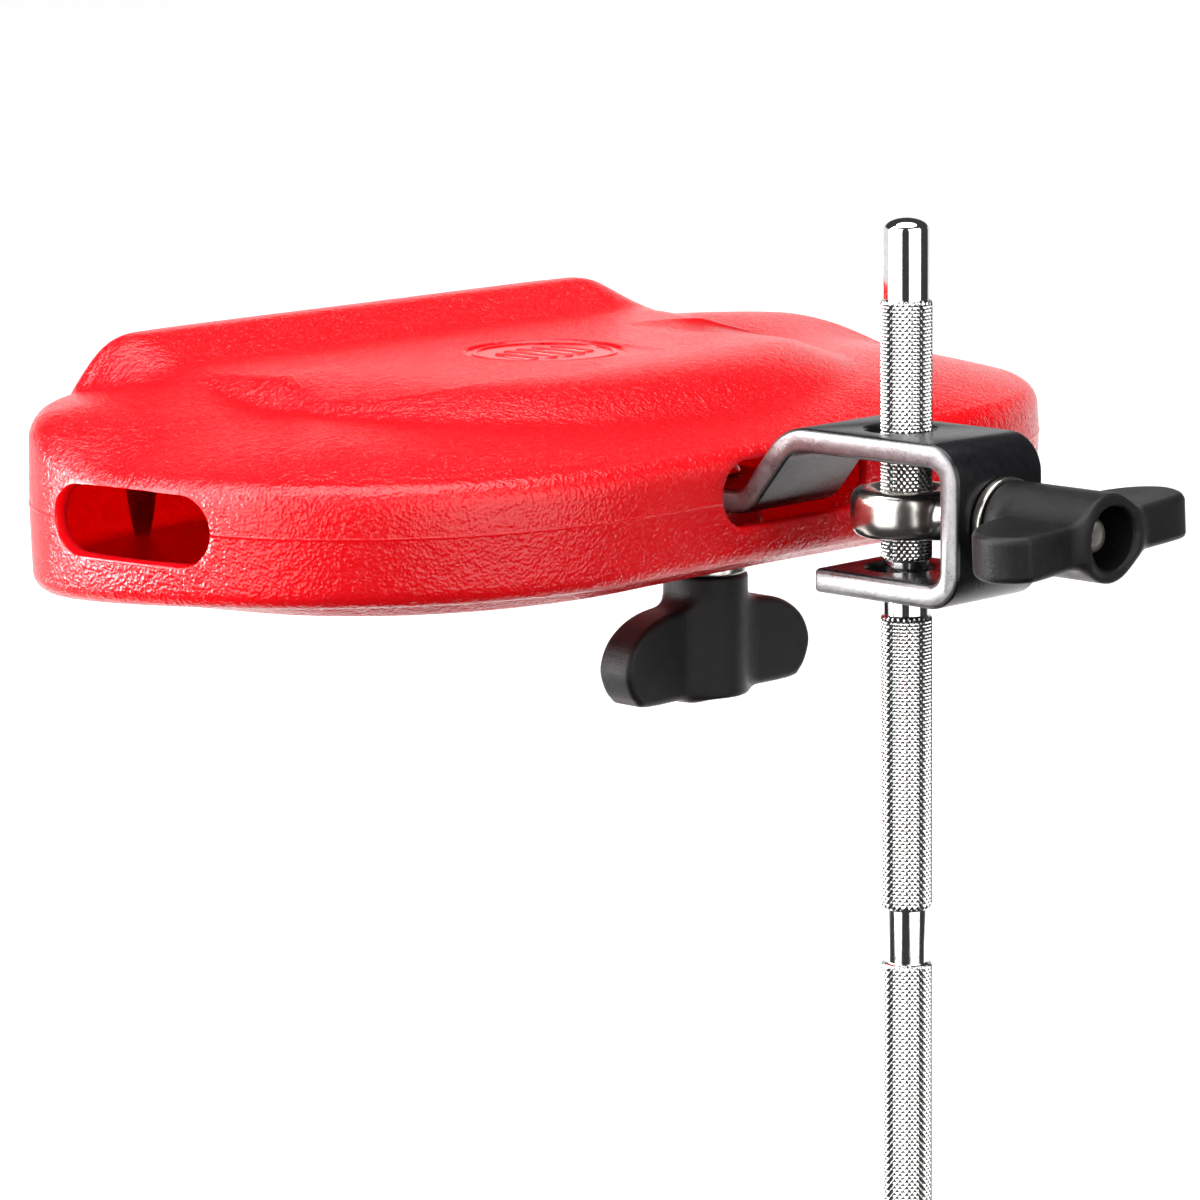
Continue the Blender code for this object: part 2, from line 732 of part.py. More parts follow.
block_axis = add_axis("block_axis", (0, MOUNT_Y, CLAMP_Z), clamp_axis)
make_block(block_axis)

mount_washer_axis = add_axis("mount_washer_axis", (0, MOUNT_Y, MOUNT_WASHER_Z), clamp_axis)
make_washer("mount_washer", MOUNT_WASHER_R, at(0, MOUNT_Y, MOUNT_WASHER_Z) @ DOWNWARD, mount_washer_axis)

mount_nut_axis = add_axis("mount_nut_axis", (0, MOUNT_Y, MOUNT_NUT_Z), mount_washer_axis)
make_nut("mount", at(0, MOUNT_Y, MOUNT_NUT_Z) @ DOWNWARD, mount_nut_axis)
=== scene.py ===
"""Looks for the moulded percussion block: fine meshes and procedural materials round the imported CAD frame.

The row frame is the CAD's: origin at the rod's foot, +Z up the rod, +X along the block's rear wall and
+Y from the rod towards the player. Sizes are in millimetres times MM, and places come from the CAD boxes.
"""

import math

import bmesh
import bpy
import numpy as np
from mathutils import Matrix, Vector


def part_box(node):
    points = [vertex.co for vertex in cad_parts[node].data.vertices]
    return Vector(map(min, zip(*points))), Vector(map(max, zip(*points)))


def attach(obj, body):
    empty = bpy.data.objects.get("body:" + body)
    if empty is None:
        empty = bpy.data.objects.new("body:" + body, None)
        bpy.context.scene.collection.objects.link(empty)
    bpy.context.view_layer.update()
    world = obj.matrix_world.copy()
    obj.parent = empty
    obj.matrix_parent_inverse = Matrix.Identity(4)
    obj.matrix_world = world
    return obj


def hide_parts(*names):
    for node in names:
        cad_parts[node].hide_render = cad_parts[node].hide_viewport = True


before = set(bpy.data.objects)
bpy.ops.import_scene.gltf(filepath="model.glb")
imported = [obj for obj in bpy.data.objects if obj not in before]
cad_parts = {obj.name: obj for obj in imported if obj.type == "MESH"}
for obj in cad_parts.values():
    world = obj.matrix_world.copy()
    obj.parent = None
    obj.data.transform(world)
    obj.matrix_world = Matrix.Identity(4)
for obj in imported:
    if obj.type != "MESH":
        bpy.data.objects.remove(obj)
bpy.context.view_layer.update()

MM = 0.001
WELD = 0.000002  # points nearer than this are one
OUTWARD = Matrix.Rotation(math.radians(90), 4, "X")  # local +Z turned to world -Y
DOWNWARD = Matrix.Rotation(math.radians(180), 4, "X")  # local +Z turned to world -Z

EYE_LOW, EYE_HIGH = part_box("eye_bolt")
ROD_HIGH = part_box("rod")[1]
STRAP_LOW, STRAP_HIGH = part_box("bracket")
CLAMP_Z = (EYE_LOW.z + EYE_HIGH.z) / 2

# Rod
ROD_R = ROD_HIGH.x
ROD_LENGTH = ROD_HIGH.z
ROD_PLAIN_R = 4.25 * MM
ROD_GROOVE_R = 4.13 * MM
ROD_TOP_PLAIN = 14.8 * MM
ROD_LOWER_PLAIN = 15.2 * MM
ROD_DOME = 2.2 * MM
ROD_FOOT_CHAMFER = 0.9 * MM
ROD_GROOVE = 10.0 * MM
ROD_KNURL = 55.8 * MM
KNURL_STARTS = 27  # helices each way round the rod
KNURL_PITCH = 1.28 * MM
KNURL_DEPTH = 0.42 * MM
KNURL_STEPS = 4  # mesh steps to one pitch, each way
RING_GAP = 0.02 * MM  # between the two rings of a sharp step

# Bracket
STRAP_WIDTH = STRAP_HIGH.x - STRAP_LOW.x
STRAP = 4.5 * MM  # thickness
C_HALF_HEIGHT = STRAP_HIGH.z - CLAMP_Z
C_BACK_Y = STRAP_LOW.y
C_LOWER_END_Y = 12.2 * MM
C_BEND_R = 4.95 * MM
SHOULDER_Y = 18.8 * MM
SHOULDER_BEND_R = 9.0 * MM
TONGUE_Y = 29.8 * MM
TONGUE_BEND_R = 6.0 * MM
TONGUE_END_Y = STRAP_HIGH.y
TONGUE_UNDERSIDE = -2.7 * MM
STRAP_EDGE = 0.9 * MM
ROD_HOLE_R = 6.5 * MM
ROD_HOLE_Y = 1.45 * MM

# Bolts, washers and wing nuts
BOLT_R = 3.175 * MM
THREAD_PITCH = 1.27 * MM
THREAD_DEPTH = 0.5 * MM
THREAD_COLUMNS = 48
THREAD_STEPS = 8  # mesh rings to one pitch
BOLT_HOLE_R = 3.55 * MM
EYE_OUTER_R = EYE_HIGH.y
EYE_INNER_R = 5.2 * MM
EYE_HEIGHT = EYE_HIGH.z - EYE_LOW.z
EYE_MIDDLE_R = 7.8 * MM  # of the plain ring that becomes the eye
EYE_HALF_WALL = 2.6 * MM
EYE_BARREL_POWER = 2.9  # 2 is an ellipse in section, and more is squarer
NECK_R = 3.9 * MM
NECK_END_Y = -15.0 * MM
NECK_MIDDLE_Y = -11.5 * MM
NECK_HALF_LENGTH = 3.5 * MM
NECK_FILLET = 1.6 * MM
MOUNT_Y = 51.0 * MM
HEAD_R = 6.8 * MM
HEAD_HEIGHT = 3.3 * MM
HEAD_EDGE = 0.3 * MM
SQUARE_NECK = 6.3 * MM
HUB_R = 8.15 * MM
HUB_LENGTH = 23.4 * MM
HUB_EDGE = 0.6 * MM
WING_SPAN = 50.8 * MM
WING_THICKNESS = 8.5 * MM
WING_SWELL = 0.35 * MM  # each face stands this much further out at the tip
WING_EDGE = 1.3 * MM
WING_FILLET = 3.6 * MM
RECESS_R = 5.85 * MM
RECESS_EDGE = 0.45 * MM
INSERT_R = 5.0 * MM
INSERT_LENGTH = 11.8 * MM
INSERT_EDGE = 0.3 * MM
RECESS_FLOOR = 12.9 * MM
NUT_BORE_R = BOLT_HOLE_R + 0.2 * MM
CLAMP_NUT_TILT = math.radians(3.5)
WASHER = 1.75 * MM  # thickness
WASHER_EDGE = 0.35 * MM

# Block, with heights above or below the eye bolt's centre line
WALL = 2.5 * MM
PARTING_Z = 1.2 * MM
PARTING_BAND = 0.6 * MM  # half the height of the band round it
RIM_Z = -11.6 * MM
RIM_FRONT_DROP = 3.3 * MM
PLATFORM_Z = -15.0 * MM
DRAFT = 0.3 * MM
TOP_FILLET = 4.5 * MM
BOTTOM_FILLET = 3.2 * MM
CAVITY_FILLET = 2.5 * MM
EDGE_Z = 9.4 * MM
FRONT_CORNER_RISE = 7.6 * MM
CORNER_START_Y = 94.0 * MM
CORNER_END_Y = 126.0 * MM
DOME_RISE = 7.2 * MM
DOME_REACH = 45.0 * MM
PLATEAU_Z = 21.8 * MM
PLATEAU_HALF_WIDTH = 62.0 * MM
RIDGE_HALF_WIDTH = 65.0 * MM
PLATEAU_CENTRE_Y = 121.0 * MM
PLATEAU_REACH = 54.0 * MM
PLATEAU_POWER = 2.6
PLATEAU_EDGE = 0.8  # the share of its width where it starts to fall
RIDGE_START_Y = 112 * MM
RIDGE_RISE = 5.2 * MM
RIDGE_FOOT_Y = 127.5 * MM
RIDGE_CREST_Y = 145.0 * MM
SPINE_Y = 94.0 * MM  # the rings of the skin shrink towards this line
SPINE_SCALE = 0.35
EMBLEM_R = 16.0 * MM
EMBLEM_DEPTH = 0.5 * MM
MARK_HEIGHT = 0.3 * MM
MARK_ROOT = 0.2 * MM  # how far the marks go into the floor
MARK_RING_R = 13.9 * MM
MARK_RING_HALF_WIDTH = 0.5 * MM
BAR_SPACING = 3.8 * MM
BAR_WIDTH = 2.3 * MM
BARS_R = 11.5 * MM  # the bars end near a circle of this radius
SOUND_SLOT_Y = 89.5 * MM
SOUND_SLOT_Z = 1.4 * MM
SOUND_SLOT_LENGTH = 37.0 * MM
SOUND_SLOT_HEIGHT = 13.2 * MM
SOUND_SLOT_LIP = 0.55 * MM
SOUND_SLOT_TAPER = 0.35 * MM
TONGUE_SLOT_X = -1.0 * MM
TONGUE_SLOT_Z = 2.1 * MM
TONGUE_SLOT_LENGTH = 39.4 * MM
TONGUE_SLOT_HEIGHT = 11.8 * MM
TONGUE_SLOT_ROOM = 0.7 * MM  # lets the block yaw past the strap
TONGUE_SLOT_LIP = 0.9 * MM
BOSS_R = 11.0 * MM
POST_R = 5.0 * MM
POST_X = 63.0 * MM
POST_Y = 142.5 * MM
POST_TOP = 17.0 * MM
HALF_OUTLINE = [  # (x, y) in millimetres, from the rear wall round the right-hand end
    (0, 26), (28, 26), (52, 26.6), (73, 32.5), (90, 43), (102.5, 58), (109, 75), (112.5, 93),
    (112.6, 109), (108.8, 119.5), (102, 128.5), (91.5, 138.5), (77, 146.5), (58, 151), (30, 152), (0, 152),
]  # fmt: skip


# Small helpers


def at(x, y, z):
    return Matrix.Translation((x, y, z))


def new_object(name, mesh):
    obj = bpy.data.objects.new(name, mesh)
    bpy.context.scene.collection.objects.link(obj)
    return obj


def mesh_of(obj):
    """The evaluated mesh of a working object, which is then removed."""
    graph = bpy.context.evaluated_depsgraph_get()
    mesh = bpy.data.meshes.new_from_object(obj.evaluated_get(graph))
    bpy.data.objects.remove(obj)
    return mesh


def finish_piece(mesh, name, body, material, replaces, sharp=35):
    """Puts a finished mesh in the scene as a piece that rides on a CAD body and stands for CAD nodes."""
    mesh.materials.clear()
    mesh.materials.append(material)
    mesh.shade_smooth()
    mesh.set_sharp_from_angle(angle=math.radians(sharp))
    obj = new_object(name, mesh)
    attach(obj, body)
    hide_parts(*replaces)
    return obj


def clean(mesh):
    """Welds a mesh's doubled points and turns its faces outwards."""
    bm = bmesh.new()
    bm.from_mesh(mesh)
    bmesh.ops.remove_doubles(bm, verts=bm.verts, dist=WELD)
    bmesh.ops.recalc_face_normals(bm, faces=bm.faces)
    bm.to_mesh(mesh)
    bm.free()
    return mesh


def combined(mesh, others, operation="DIFFERENCE"):
    """A mesh with others cut from it, or joined to it, by exact Booleans."""
    target = new_object("working", mesh)
    tools = [new_object("tool", other) for other in others]
    for tool in tools:
        boolean = target.modifiers.new("cut", "BOOLEAN")
        boolean.operation = operation
        boolean.object = tool
    made = mesh_of(target)
    for tool in tools:
        bpy.data.objects.remove(tool)
    return made


def smoothstep(value, low, high):
    share = min(max((value - low) / (high - low), 0.0), 1.0)
    return share * share * (3 - 2 * share)


def rings_mesh(name, rings, alternate=False, closed=False):
    """A skin over rings of points, each ring an (n, 3) array. alternate turns every other quad's diagonal."""
    count = len(rings[0])
    points = np.concatenate(rings)
    faces = []
    loops = len(rings) if closed else len(rings) - 1
    for row in range(loops):
        above = row * count
        below = ((row + 1) % len(rings)) * count
        for i in range(count):
            j = (i + 1) % count
            a, b, c, d = above + i, above + j, below + j, below + i
            if not alternate:
                faces.append((a, b, c, d))
            elif (row + i) % 2:
                faces += [(a, b, d), (b, c, d)]
            else:
                faces += [(a, b, c), (a, c, d)]
    mesh = bpy.data.meshes.new(name)
    mesh.from_pydata(points.tolist(), [], faces)
    return mesh


def turned(name, profile, columns=96, closed=False):
    """The skin of a profile of (radius, z) points turned about local Z."""
    angles = np.linspace(0, math.tau, columns, endpoint=False)
    rings = [
        np.stack([r * np.cos(angles), r * np.sin(angles), np.full(columns, z)], axis=1) for r, z in profile
    ]
    return clean(rings_mesh(name, rings, closed=closed))


def arc(centre_r, centre_z, radius, start, end, steps=6):
    """Points of (radius, z) on a rounded corner of a profile. Angles are in degrees, 0 outwards and 90 up."""
    angles = [math.radians(start + (end - start) * k / steps) for k in range(steps + 1)]
    return [(centre_r + radius * math.cos(a), centre_z + radius * math.sin(a)) for a in angles]


def flat_outline(name, points, half_thickness):
    """A flat plate in the local XY plane with the given outline."""
    curve = bpy.data.curves.new(name, "CURVE")
    curve.dimensions = "2D"
    curve.fill_mode = "BOTH"
    curve.extrude = half_thickness
    spline = curve.splines.new("POLY")
    spline.points.add(len(points) - 1)
    for point, (x, y) in zip(spline.points, points):
        point.co = (x, y, 0, 1)
    spline.use_cyclic_u = True
    mesh = clean(mesh_of(new_object(name, curve)))
    bm = bmesh.new()
    bm.from_mesh(mesh)
    bmesh.ops.dissolve_limit(bm, angle_limit=math.radians(0.05), verts=bm.verts, edges=bm.edges)
    bm.to_mesh(mesh)
    bm.free()
    return mesh


def closed_curve(points, steps):
    """Points on a smooth closed curve through the given ones (Catmull-Rom)."""
    made = []
    count = len(points)
    for index in range(count):
        a, b, c, d = (Vector(points[(index + k) % count]) for k in (-1, 0, 1, 2))
        squared = 2 * a - 5 * b + 4 * c - d
        cubed = 3 * b - a - 3 * c + d
        for step in range(steps):
            t = step / steps
            made.append(0.5 * (2 * b + (c - a) * t + squared * t**2 + cubed * t**3))
    return made


# Materials


class Shader:
    """A Principled material, with short ways to add nodes in front of it."""

    def __init__(self, name, colour, roughness, metallic=0.0):
        self.material = bpy.data.materials.new(name)
        self.material.use_nodes = True
        self.tree = self.material.node_tree
        self.surface = self.tree.nodes["Principled BSDF"]
        self.surface.inputs["Base Color"].default_value = (*colour, 1.0)
        self.surface.inputs["Roughness"].default_value = roughness
        self.surface.inputs["Metallic"].default_value = metallic
        self.place = self.tree.nodes.new("ShaderNodeTexCoord").outputs["Object"]
        self.normal = None

    def set(self, **values):
        for name, value in values.items():
            self.surface.inputs[name.replace("_", " ")].default_value = value

    def node(self, kind, links=(), **settings):
        made = self.tree.nodes.new(f"ShaderNode{kind}")
        for name, value in settings.items():
            setattr(made, name, value)
        for socket, source in dict(links).items():
            if isinstance(source, bpy.types.NodeSocket):
                self.tree.links.new(source, made.inputs[socket])
            else:
                made.inputs[socket].default_value = source
        return made

    def math(self, operation, *values):
        return self.node("Math", dict(enumerate(values)), operation=operation).outputs[0]

    def noise(self, size, detail=2.0, roughness=0.5):
        """Soft noise from 0 to 1 with features of a size in metres."""
        links = {"Vector": self.place, "Scale": 1 / size, "Detail": detail, "Roughness": roughness}
        return self.node("TexNoise", links).outputs["Fac"]

    def cells(self, size, smoothness):
        """Rounded pebbles of a size in metres, as the distance from each one's middle."""
        links = {"Vector": self.place, "Scale": 1 / size, "Smoothness": smoothness}
        return self.node("TexVoronoi", links, feature="SMOOTH_F1").outputs["Distance"]

    def ramp(self, value, *stops):
        """Maps a value through (position, colour or grey) stops."""
        made = self.node("ValToRGB", {"Fac": value})
        stops = [(p, c if isinstance(c, tuple) else (c, c, c)) for p, c in stops]
        for element, (position, colour) in zip(made.color_ramp.elements, (stops[0], stops[-1])):
            element.position = position
            element.color = (*colour, 1.0)
        for position, colour in stops[1:-1]:
            made.color_ramp.elements.new(position).color = (*colour, 1.0)
        return made.outputs["Color"]

    def drive(self, socket, source):
        self.tree.links.new(source, self.surface.inputs[socket])

    def bump(self, height, distance, strength=1.0):
        """Adds a bump of a depth in metres on top of those before it."""
        links = {"Height": height, "Distance": distance, "Strength": strength}
        if self.normal:
            links["Normal"] = self.normal
        self.normal = self.node("Bump", links).outputs["Normal"]
        self.drive("Normal", self.normal)


def red_polyethylene():
    """Semi-gloss moulded plastic with a leathery grain, smooth where the attribute grain is 0."""
    shader = Shader("red_polyethylene", (0.84, 0.004, 0.010), 0.30)
    shader.set(IOR=1.5, Subsurface_Weight=1.0, Subsurface_Scale=6 * MM, Subsurface_Radius=(1.0, 0.05, 0.05))
    grain = shader.node("Attribute", attribute_name="grain").outputs["Fac"]
    pebble = shader.cells(0.6 * MM, 0.4)
    fine = shader.noise(0.5 * MM, 1.0)
    height = shader.math("ADD", pebble, shader.math("MULTIPLY", fine, 0.5))
    shader.bump(shader.math("MULTIPLY", height, grain), 0.14 * MM)
    leather = shader.math("MULTIPLY", shader.noise(1.7 * MM, 1.0), grain)
    shader.bump(leather, 0.24 * MM)
    broad = shader.noise(14 * MM)
    shader.bump(broad, 0.4 * MM, 0.35)
    tone = shader.ramp(broad, (0.3, (0.80, 0.0035, 0.009)), (0.7, (0.86, 0.005, 0.011)))
    shader.drive("Base Color", tone)
    rough = shader.math("ADD", 0.12, shader.math("MULTIPLY", fine, 0.14))
    shader.drive("Roughness", rough)
    return shader.material


def black_coating():
    """Satin black coat on the strap. The sawn edges, which face along X, are rougher and greyer."""
    shader = Shader("black_coated_steel", (0.012, 0.012, 0.014), 0.34)
    facing = shader.node("NewGeometry").outputs["True Normal"]
    side = shader.node("SeparateXYZ", {"Vector": facing}).outputs["X"]
    cut = shader.ramp(shader.math("ABSOLUTE", side), (0.55, 0.0), (0.9, 1.0))
    mottle = shader.noise(1.6 * MM, 4.0, 0.65)
    grey = shader.ramp(mottle, (0.35, (0.185, 0.18, 0.185)), (0.7, (0.25, 0.245, 0.25)))
    black = shader.ramp(mottle, (0.3, (0.004, 0.004, 0.005)), (0.7, (0.008, 0.008, 0.010)))
    colour = shader.node("Mix", data_type="RGBA")
    for index, source in ((0, cut), (6, black), (7, grey)):
        shader.tree.links.new(source, colour.inputs[index])
    shader.drive("Base Color", colour.outputs[2])
    rough = shader.math("ADD", 0.22, shader.math("MULTIPLY", mottle, 0.14))
    shader.drive("Roughness", rough)
    shader.drive("Metallic", shader.math("MULTIPLY", cut, 0.75))
    shader.bump(shader.noise(0.7 * MM, 3.0), 0.05 * MM, 0.5)
    return shader.material


def black_nylon():
    """Moulded nylon with a fine matt grain."""
    shader = Shader("black_nylon", (0.012, 0.012, 0.014), 0.5)
    shader.set(Specular_IOR_Level=0.33)
    fine = shader.noise(0.35 * MM, 4.0, 0.7)
    patch = shader.noise(5 * MM, 3.0, 0.6)
    colour = shader.ramp(patch, (0.3, (0.003, 0.003, 0.0035)), (0.75, (0.007, 0.007, 0.008)))
    shader.drive("Base Color", colour)
    rough = shader.math("ADD", 0.24, shader.math("MULTIPLY", patch, 0.22))
    shader.drive("Roughness", rough)
    shader.bump(fine, 0.14 * MM, 0.9)
    return shader.material


def metal(name, colour, roughness, scratch, ripple, size=1.2 * MM):
    """Plated steel. Patches of a size are rougher by up to scratch, and ripple is their relief in millimetres."""
    shader = Shader(name, colour, roughness, 1.0)
    cloud = shader.noise(size, 4.0, 0.6)
    shader.drive("Roughness", shader.math("ADD", roughness, shader.math("MULTIPLY", cloud, scratch)))
    tint = tuple(0.86 * c for c in colour)
    shader.drive("Base Color", shader.ramp(cloud, (0.3, tint), (0.7, colour)))
    shader.bump(cloud, ripple * MM, 0.6)
    return shader.material


chrome = metal("bright_chrome", (0.86, 0.87, 0.88), 0.05, 0.05, 0.006)
knurled_chrome = metal("knurled_chrome", (0.78, 0.78, 0.77), 0.10, 0.08, 0.004, 0.6 * MM)
nickel = metal("polished_nickel", (0.72, 0.69, 0.64), 0.17, 0.10, 0.01)
zinc = metal("zinc_plated_steel", (0.80, 0.76, 0.68), 0.26, 0.22, 0.05, 0.5 * MM)
red = red_polyethylene()
coat = black_coating()
nylon = black_nylon()


# Rod


def knurl_stretches():
    """(top, bottom) of each knurled stretch, from the dome down."""
    lower = ROD_LOWER_PLAIN + ROD_KNURL
    upper = lower + ROD_GROOVE + ROD_KNURL
    top = ROD_LENGTH - ROD_TOP_PLAIN
    return [(top, upper + ROD_GROOVE), (upper, lower + ROD_GROOVE), (lower, ROD_LOWER_PLAIN)]


def rod_rows():
    """(z, radius, whether it is knurled) down the rod, dome first."""
    plain, groove = ROD_PLAIN_R, ROD_GROOVE_R
    rows = []
    for step in range(13):
        angle = math.radians(90 * step / 12)
        rows.append((ROD_LENGTH - ROD_DOME * (1 - math.cos(angle)), plain * math.sin(angle), False))
    ends = [plain, groove, groove, plain]
    for index, (top, bottom) in enumerate(knurl_stretches()):
        steps = round((top - bottom) / KNURL_PITCH * KNURL_STEPS)
        rows.append((top + RING_GAP, ends[index], False))
        for step in range(steps + 1):
            z = top - (top - bottom) * step / steps
            chamfer = min(ROD_R, ends[index] + top - z, ends[index + 1] + z - bottom)
            rows.append((z, chamfer, True))
        rows.append((bottom - RING_GAP, ends[index + 1], False))
    rows += [(ROD_FOOT_CHAMFER, plain, False), (0, plain - ROD_FOOT_CHAMFER, False), (0, 0, False)]
    return rows


def make_rod():
    """The rod, with raised crests crossing round it and a diamond pit inside each mesh of them."""
    columns = KNURL_STARTS * KNURL_STEPS
    angles = np.linspace(0, math.tau, columns, endpoint=False)
    around = np.arange(columns)
    rings = []
    for row, (z, radius, knurled) in enumerate(rod_rows()):
        reach = np.full(columns, radius)
        if knurled:
            one = np.abs(((around + row) / KNURL_STEPS) % 1 - 0.5) * 2
            other = np.abs(((around - row) / KNURL_STEPS) % 1 - 0.5) * 2
            pit = 1 - np.maximum(one, other)
            reach = np.minimum(radius, ROD_R - KNURL_DEPTH * pit)
        rings.append(np.stack([reach * np.cos(angles), reach * np.sin(angles), np.full(columns, z)], axis=1))
    mesh = clean(rings_mesh("rod", rings, alternate=True))
    rod = finish_piece(mesh, "knurled_rod", "rod", knurled_chrome, ["rod"], 60)
    rod.data.materials.append(chrome)
    for face in rod.data.polygons:
        middle = face.center
        if math.hypot(middle.x, middle.y) < ROD_PLAIN_R + RING_GAP:
            knurled = any(low < middle.z < high for high, low in knurl_stretches())
            face.material_index = 0 if knurled else 1


# Bracket


def strap_outline():
    """The strap seen along X, as (y, z) points: its middle line, offset half a thickness each way."""
    middle_z = C_HALF_HEIGHT - STRAP / 2
    back = C_BACK_Y + STRAP / 2
    tongue_z = TONGUE_UNDERSIDE + STRAP / 2
    corners = [
        (C_LOWER_END_Y, -middle_z, 0),
        (back, -middle_z, C_BEND_R),
        (back, middle_z, C_BEND_R),
        (SHOULDER_Y, middle_z, SHOULDER_BEND_R),
        (TONGUE_Y, tongue_z, TONGUE_BEND_R),
        (TONGUE_END_Y, tongue_z, 0),
    ]
    one_side, other_side = [], []
    for index, (y, z, radius) in enumerate(corners):
        here = Vector((y, z))
        before = Vector(corners[max(index - 1, 0)][:2])
        after = Vector(corners[min(index + 1, len(corners) - 1)][:2])
        if not radius:
            along = (after - before).normalized()
            normal = Vector((-along.y, along.x)) * STRAP / 2
            one_side.append(here + normal)
            other_side.append(here - normal)
            continue
        into = (here - before).normalized()
        out = (after - here).normalized()
        turn = math.atan2(into.x * out.y - into.y * out.x, into.dot(out))
        side = math.copysign(1, turn)
        start = here - into * radius * math.tan(abs(turn) / 2)
        centre = start + Vector((-into.y, into.x)) * radius * side
        steps = round(abs(math.degrees(turn)) / 5)
        for step in range(steps + 1):
            swing = turn * step / steps
            spoke = Matrix.Rotation(swing, 2) @ (start - centre).normalized()
            one_side.append(centre + spoke * (radius - side * STRAP / 2))
            other_side.append(centre + spoke * (radius + side * STRAP / 2))
    return [tuple(p) for p in one_side] + [tuple(p) for p in reversed(other_side)]


def cylinder(radius, low, high):
    return turned("cylinder", [(0, high), (radius, high), (radius, low), (0, low)])


def make_bracket():
    """The bent strap, with a hole for the rod through both arms of its C and one for the eye bolt."""
    along_x = Matrix(((0, 0, 1, 0), (1, 0, 0, 0), (0, 1, 0, 0), (0, 0, 0, 1)))  # local X and Y to world Y and Z
    mesh = flat_outline("strap", strap_outline(), STRAP_WIDTH / 2)
    mesh.transform(at(0, 0, CLAMP_Z) @ along_x)
    rod_hole = cylinder(ROD_HOLE_R, -40 * MM, 40 * MM)
    rod_hole.transform(at(0, ROD_HOLE_Y, CLAMP_Z))
    bolt_hole = cylinder(BOLT_HOLE_R, -8 * MM, 8 * MM)
    bolt_hole.transform(at(0, C_BACK_Y, CLAMP_Z) @ OUTWARD)
    obj = new_object("strap", combined(mesh, [rod_hole, bolt_hole]))
    bevel = obj.modifiers.new("edges", "BEVEL")
    bevel.width = STRAP_EDGE
    bevel.segments = 4
    bevel.limit_method = "ANGLE"
    bevel.angle_limit = math.radians(60)
    finish_piece(mesh_of(obj), "bent_bracket", "bracket", coat, ["bracket"])


# Bolts and washers


def threaded_rings(low, high):
    """Rings down a right-hand thread from high to low, with the end chamfered."""
    angles = np.linspace(0, math.tau, THREAD_COLUMNS, endpoint=False)
    count = round((high - low) / THREAD_PITCH * THREAD_STEPS)
    rings = []
    for row in range(count + 1):
        z = high - (high - low) * row / count
        phase = (z / THREAD_PITCH - angles / math.tau) % 1
        wave = np.clip(1.35 * (1 - np.abs(2 * phase - 1)) - 0.12, 0, 1)
        reach = BOLT_R - THREAD_DEPTH * (1 - wave)
        reach = np.minimum(reach, BOLT_R - 0.7 * MM + 1.2 * (high - z))
        level = np.full(THREAD_COLUMNS, z)
        rings.append(np.stack([reach * np.cos(angles), reach * np.sin(angles), level], axis=1))
    return rings


def threaded_shank(low, high):
    """A threaded bolt end up local Z, its tip at high, with a slightly hollow face."""
    rings = threaded_rings(low, high)
    centre = np.tile([0, 0, high - 0.15 * MM], (THREAD_COLUMNS, 1))
    inner = rings[0] * [0.6, 0.6, 1] - [0, 0, 0.1 * MM]
    base = np.tile([0, 0, low], (THREAD_COLUMNS, 1))
    return clean(rings_mesh("shank", [centre, inner] + rings + [base]))


def joined(name, meshes):
    bm = bmesh.new()
    for mesh in meshes:
        bm.from_mesh(mesh)
    made = bpy.data.meshes.new(name)
    bm.to_mesh(made)
    bm.free()
    return made


def settle(mesh, distance):
    """Moves each vertex onto the surface where distance(points) is 0, along its slope."""
    points = np.empty(len(mesh.vertices) * 3)
    mesh.vertices.foreach_get("co", points)
    points = points.reshape(-1, 3)
    step = 0.01 * MM
    for _ in range(6):
        here = distance(points)
        slope = np.stack([(distance(points + step * axis) - here) / step for axis in np.eye(3)], axis=1)
        length = np.maximum((slope**2).sum(axis=1), 0.05)
        points -= slope * (np.clip(here, -MM, MM) / length)[:, None]
    mesh.vertices.foreach_set("co", points.ravel())
    mesh.update()
    return mesh


def remeshed(mesh, size):
    """A mesh made again in even faces of a size, and relaxed a little."""
    obj = new_object("working", mesh)
    remesh = obj.modifiers.new("remesh", "REMESH")
    remesh.mode = "VOXEL"
    remesh.voxel_size = size
    relax = obj.modifiers.new("relax", "SMOOTH")
    relax.factor = 0.5
    relax.iterations = 4
    return mesh_of(obj)


def rounded(first, second, radius):
    """The distance to where two half spaces meet, with the edge between them rounded."""
    a = first + radius
    b = second + radius
    outside = np.hypot(np.maximum(a, 0), np.maximum(b, 0))
    return np.minimum(np.maximum(a, b), 0) + outside - radius


def blended(first, second, radius):
    """The distance to two shapes joined with a fillet."""
    share = np.clip(0.5 + 0.5 * (second - first) / radius, 0, 1)
    return second + (first - second) * share - radius * share * (1 - share)


def eye_distance(points):
    """The barrel-shaped eye round local Z, with its neck towards -Y."""
    x, y, z = points.T
    half_wall = (EYE_OUTER_R - EYE_INNER_R) / 2
    across = (np.hypot(x, y) - EYE_INNER_R - half_wall) / half_wall
    up = z / (EYE_HEIGHT / 2)
    power = EYE_BARREL_POWER
    barrel = ((np.abs(across) ** power + np.abs(up) ** power) ** (1 / power) - 1) * half_wall
    neck = rounded(np.hypot(x, z) - NECK_R, np.abs(y - NECK_MIDDLE_Y) - NECK_HALF_LENGTH, 0.4 * MM)
    bore = EYE_INNER_R - np.hypot(x, y)
    return np.maximum(blended(barrel, neck, NECK_FILLET), bore)


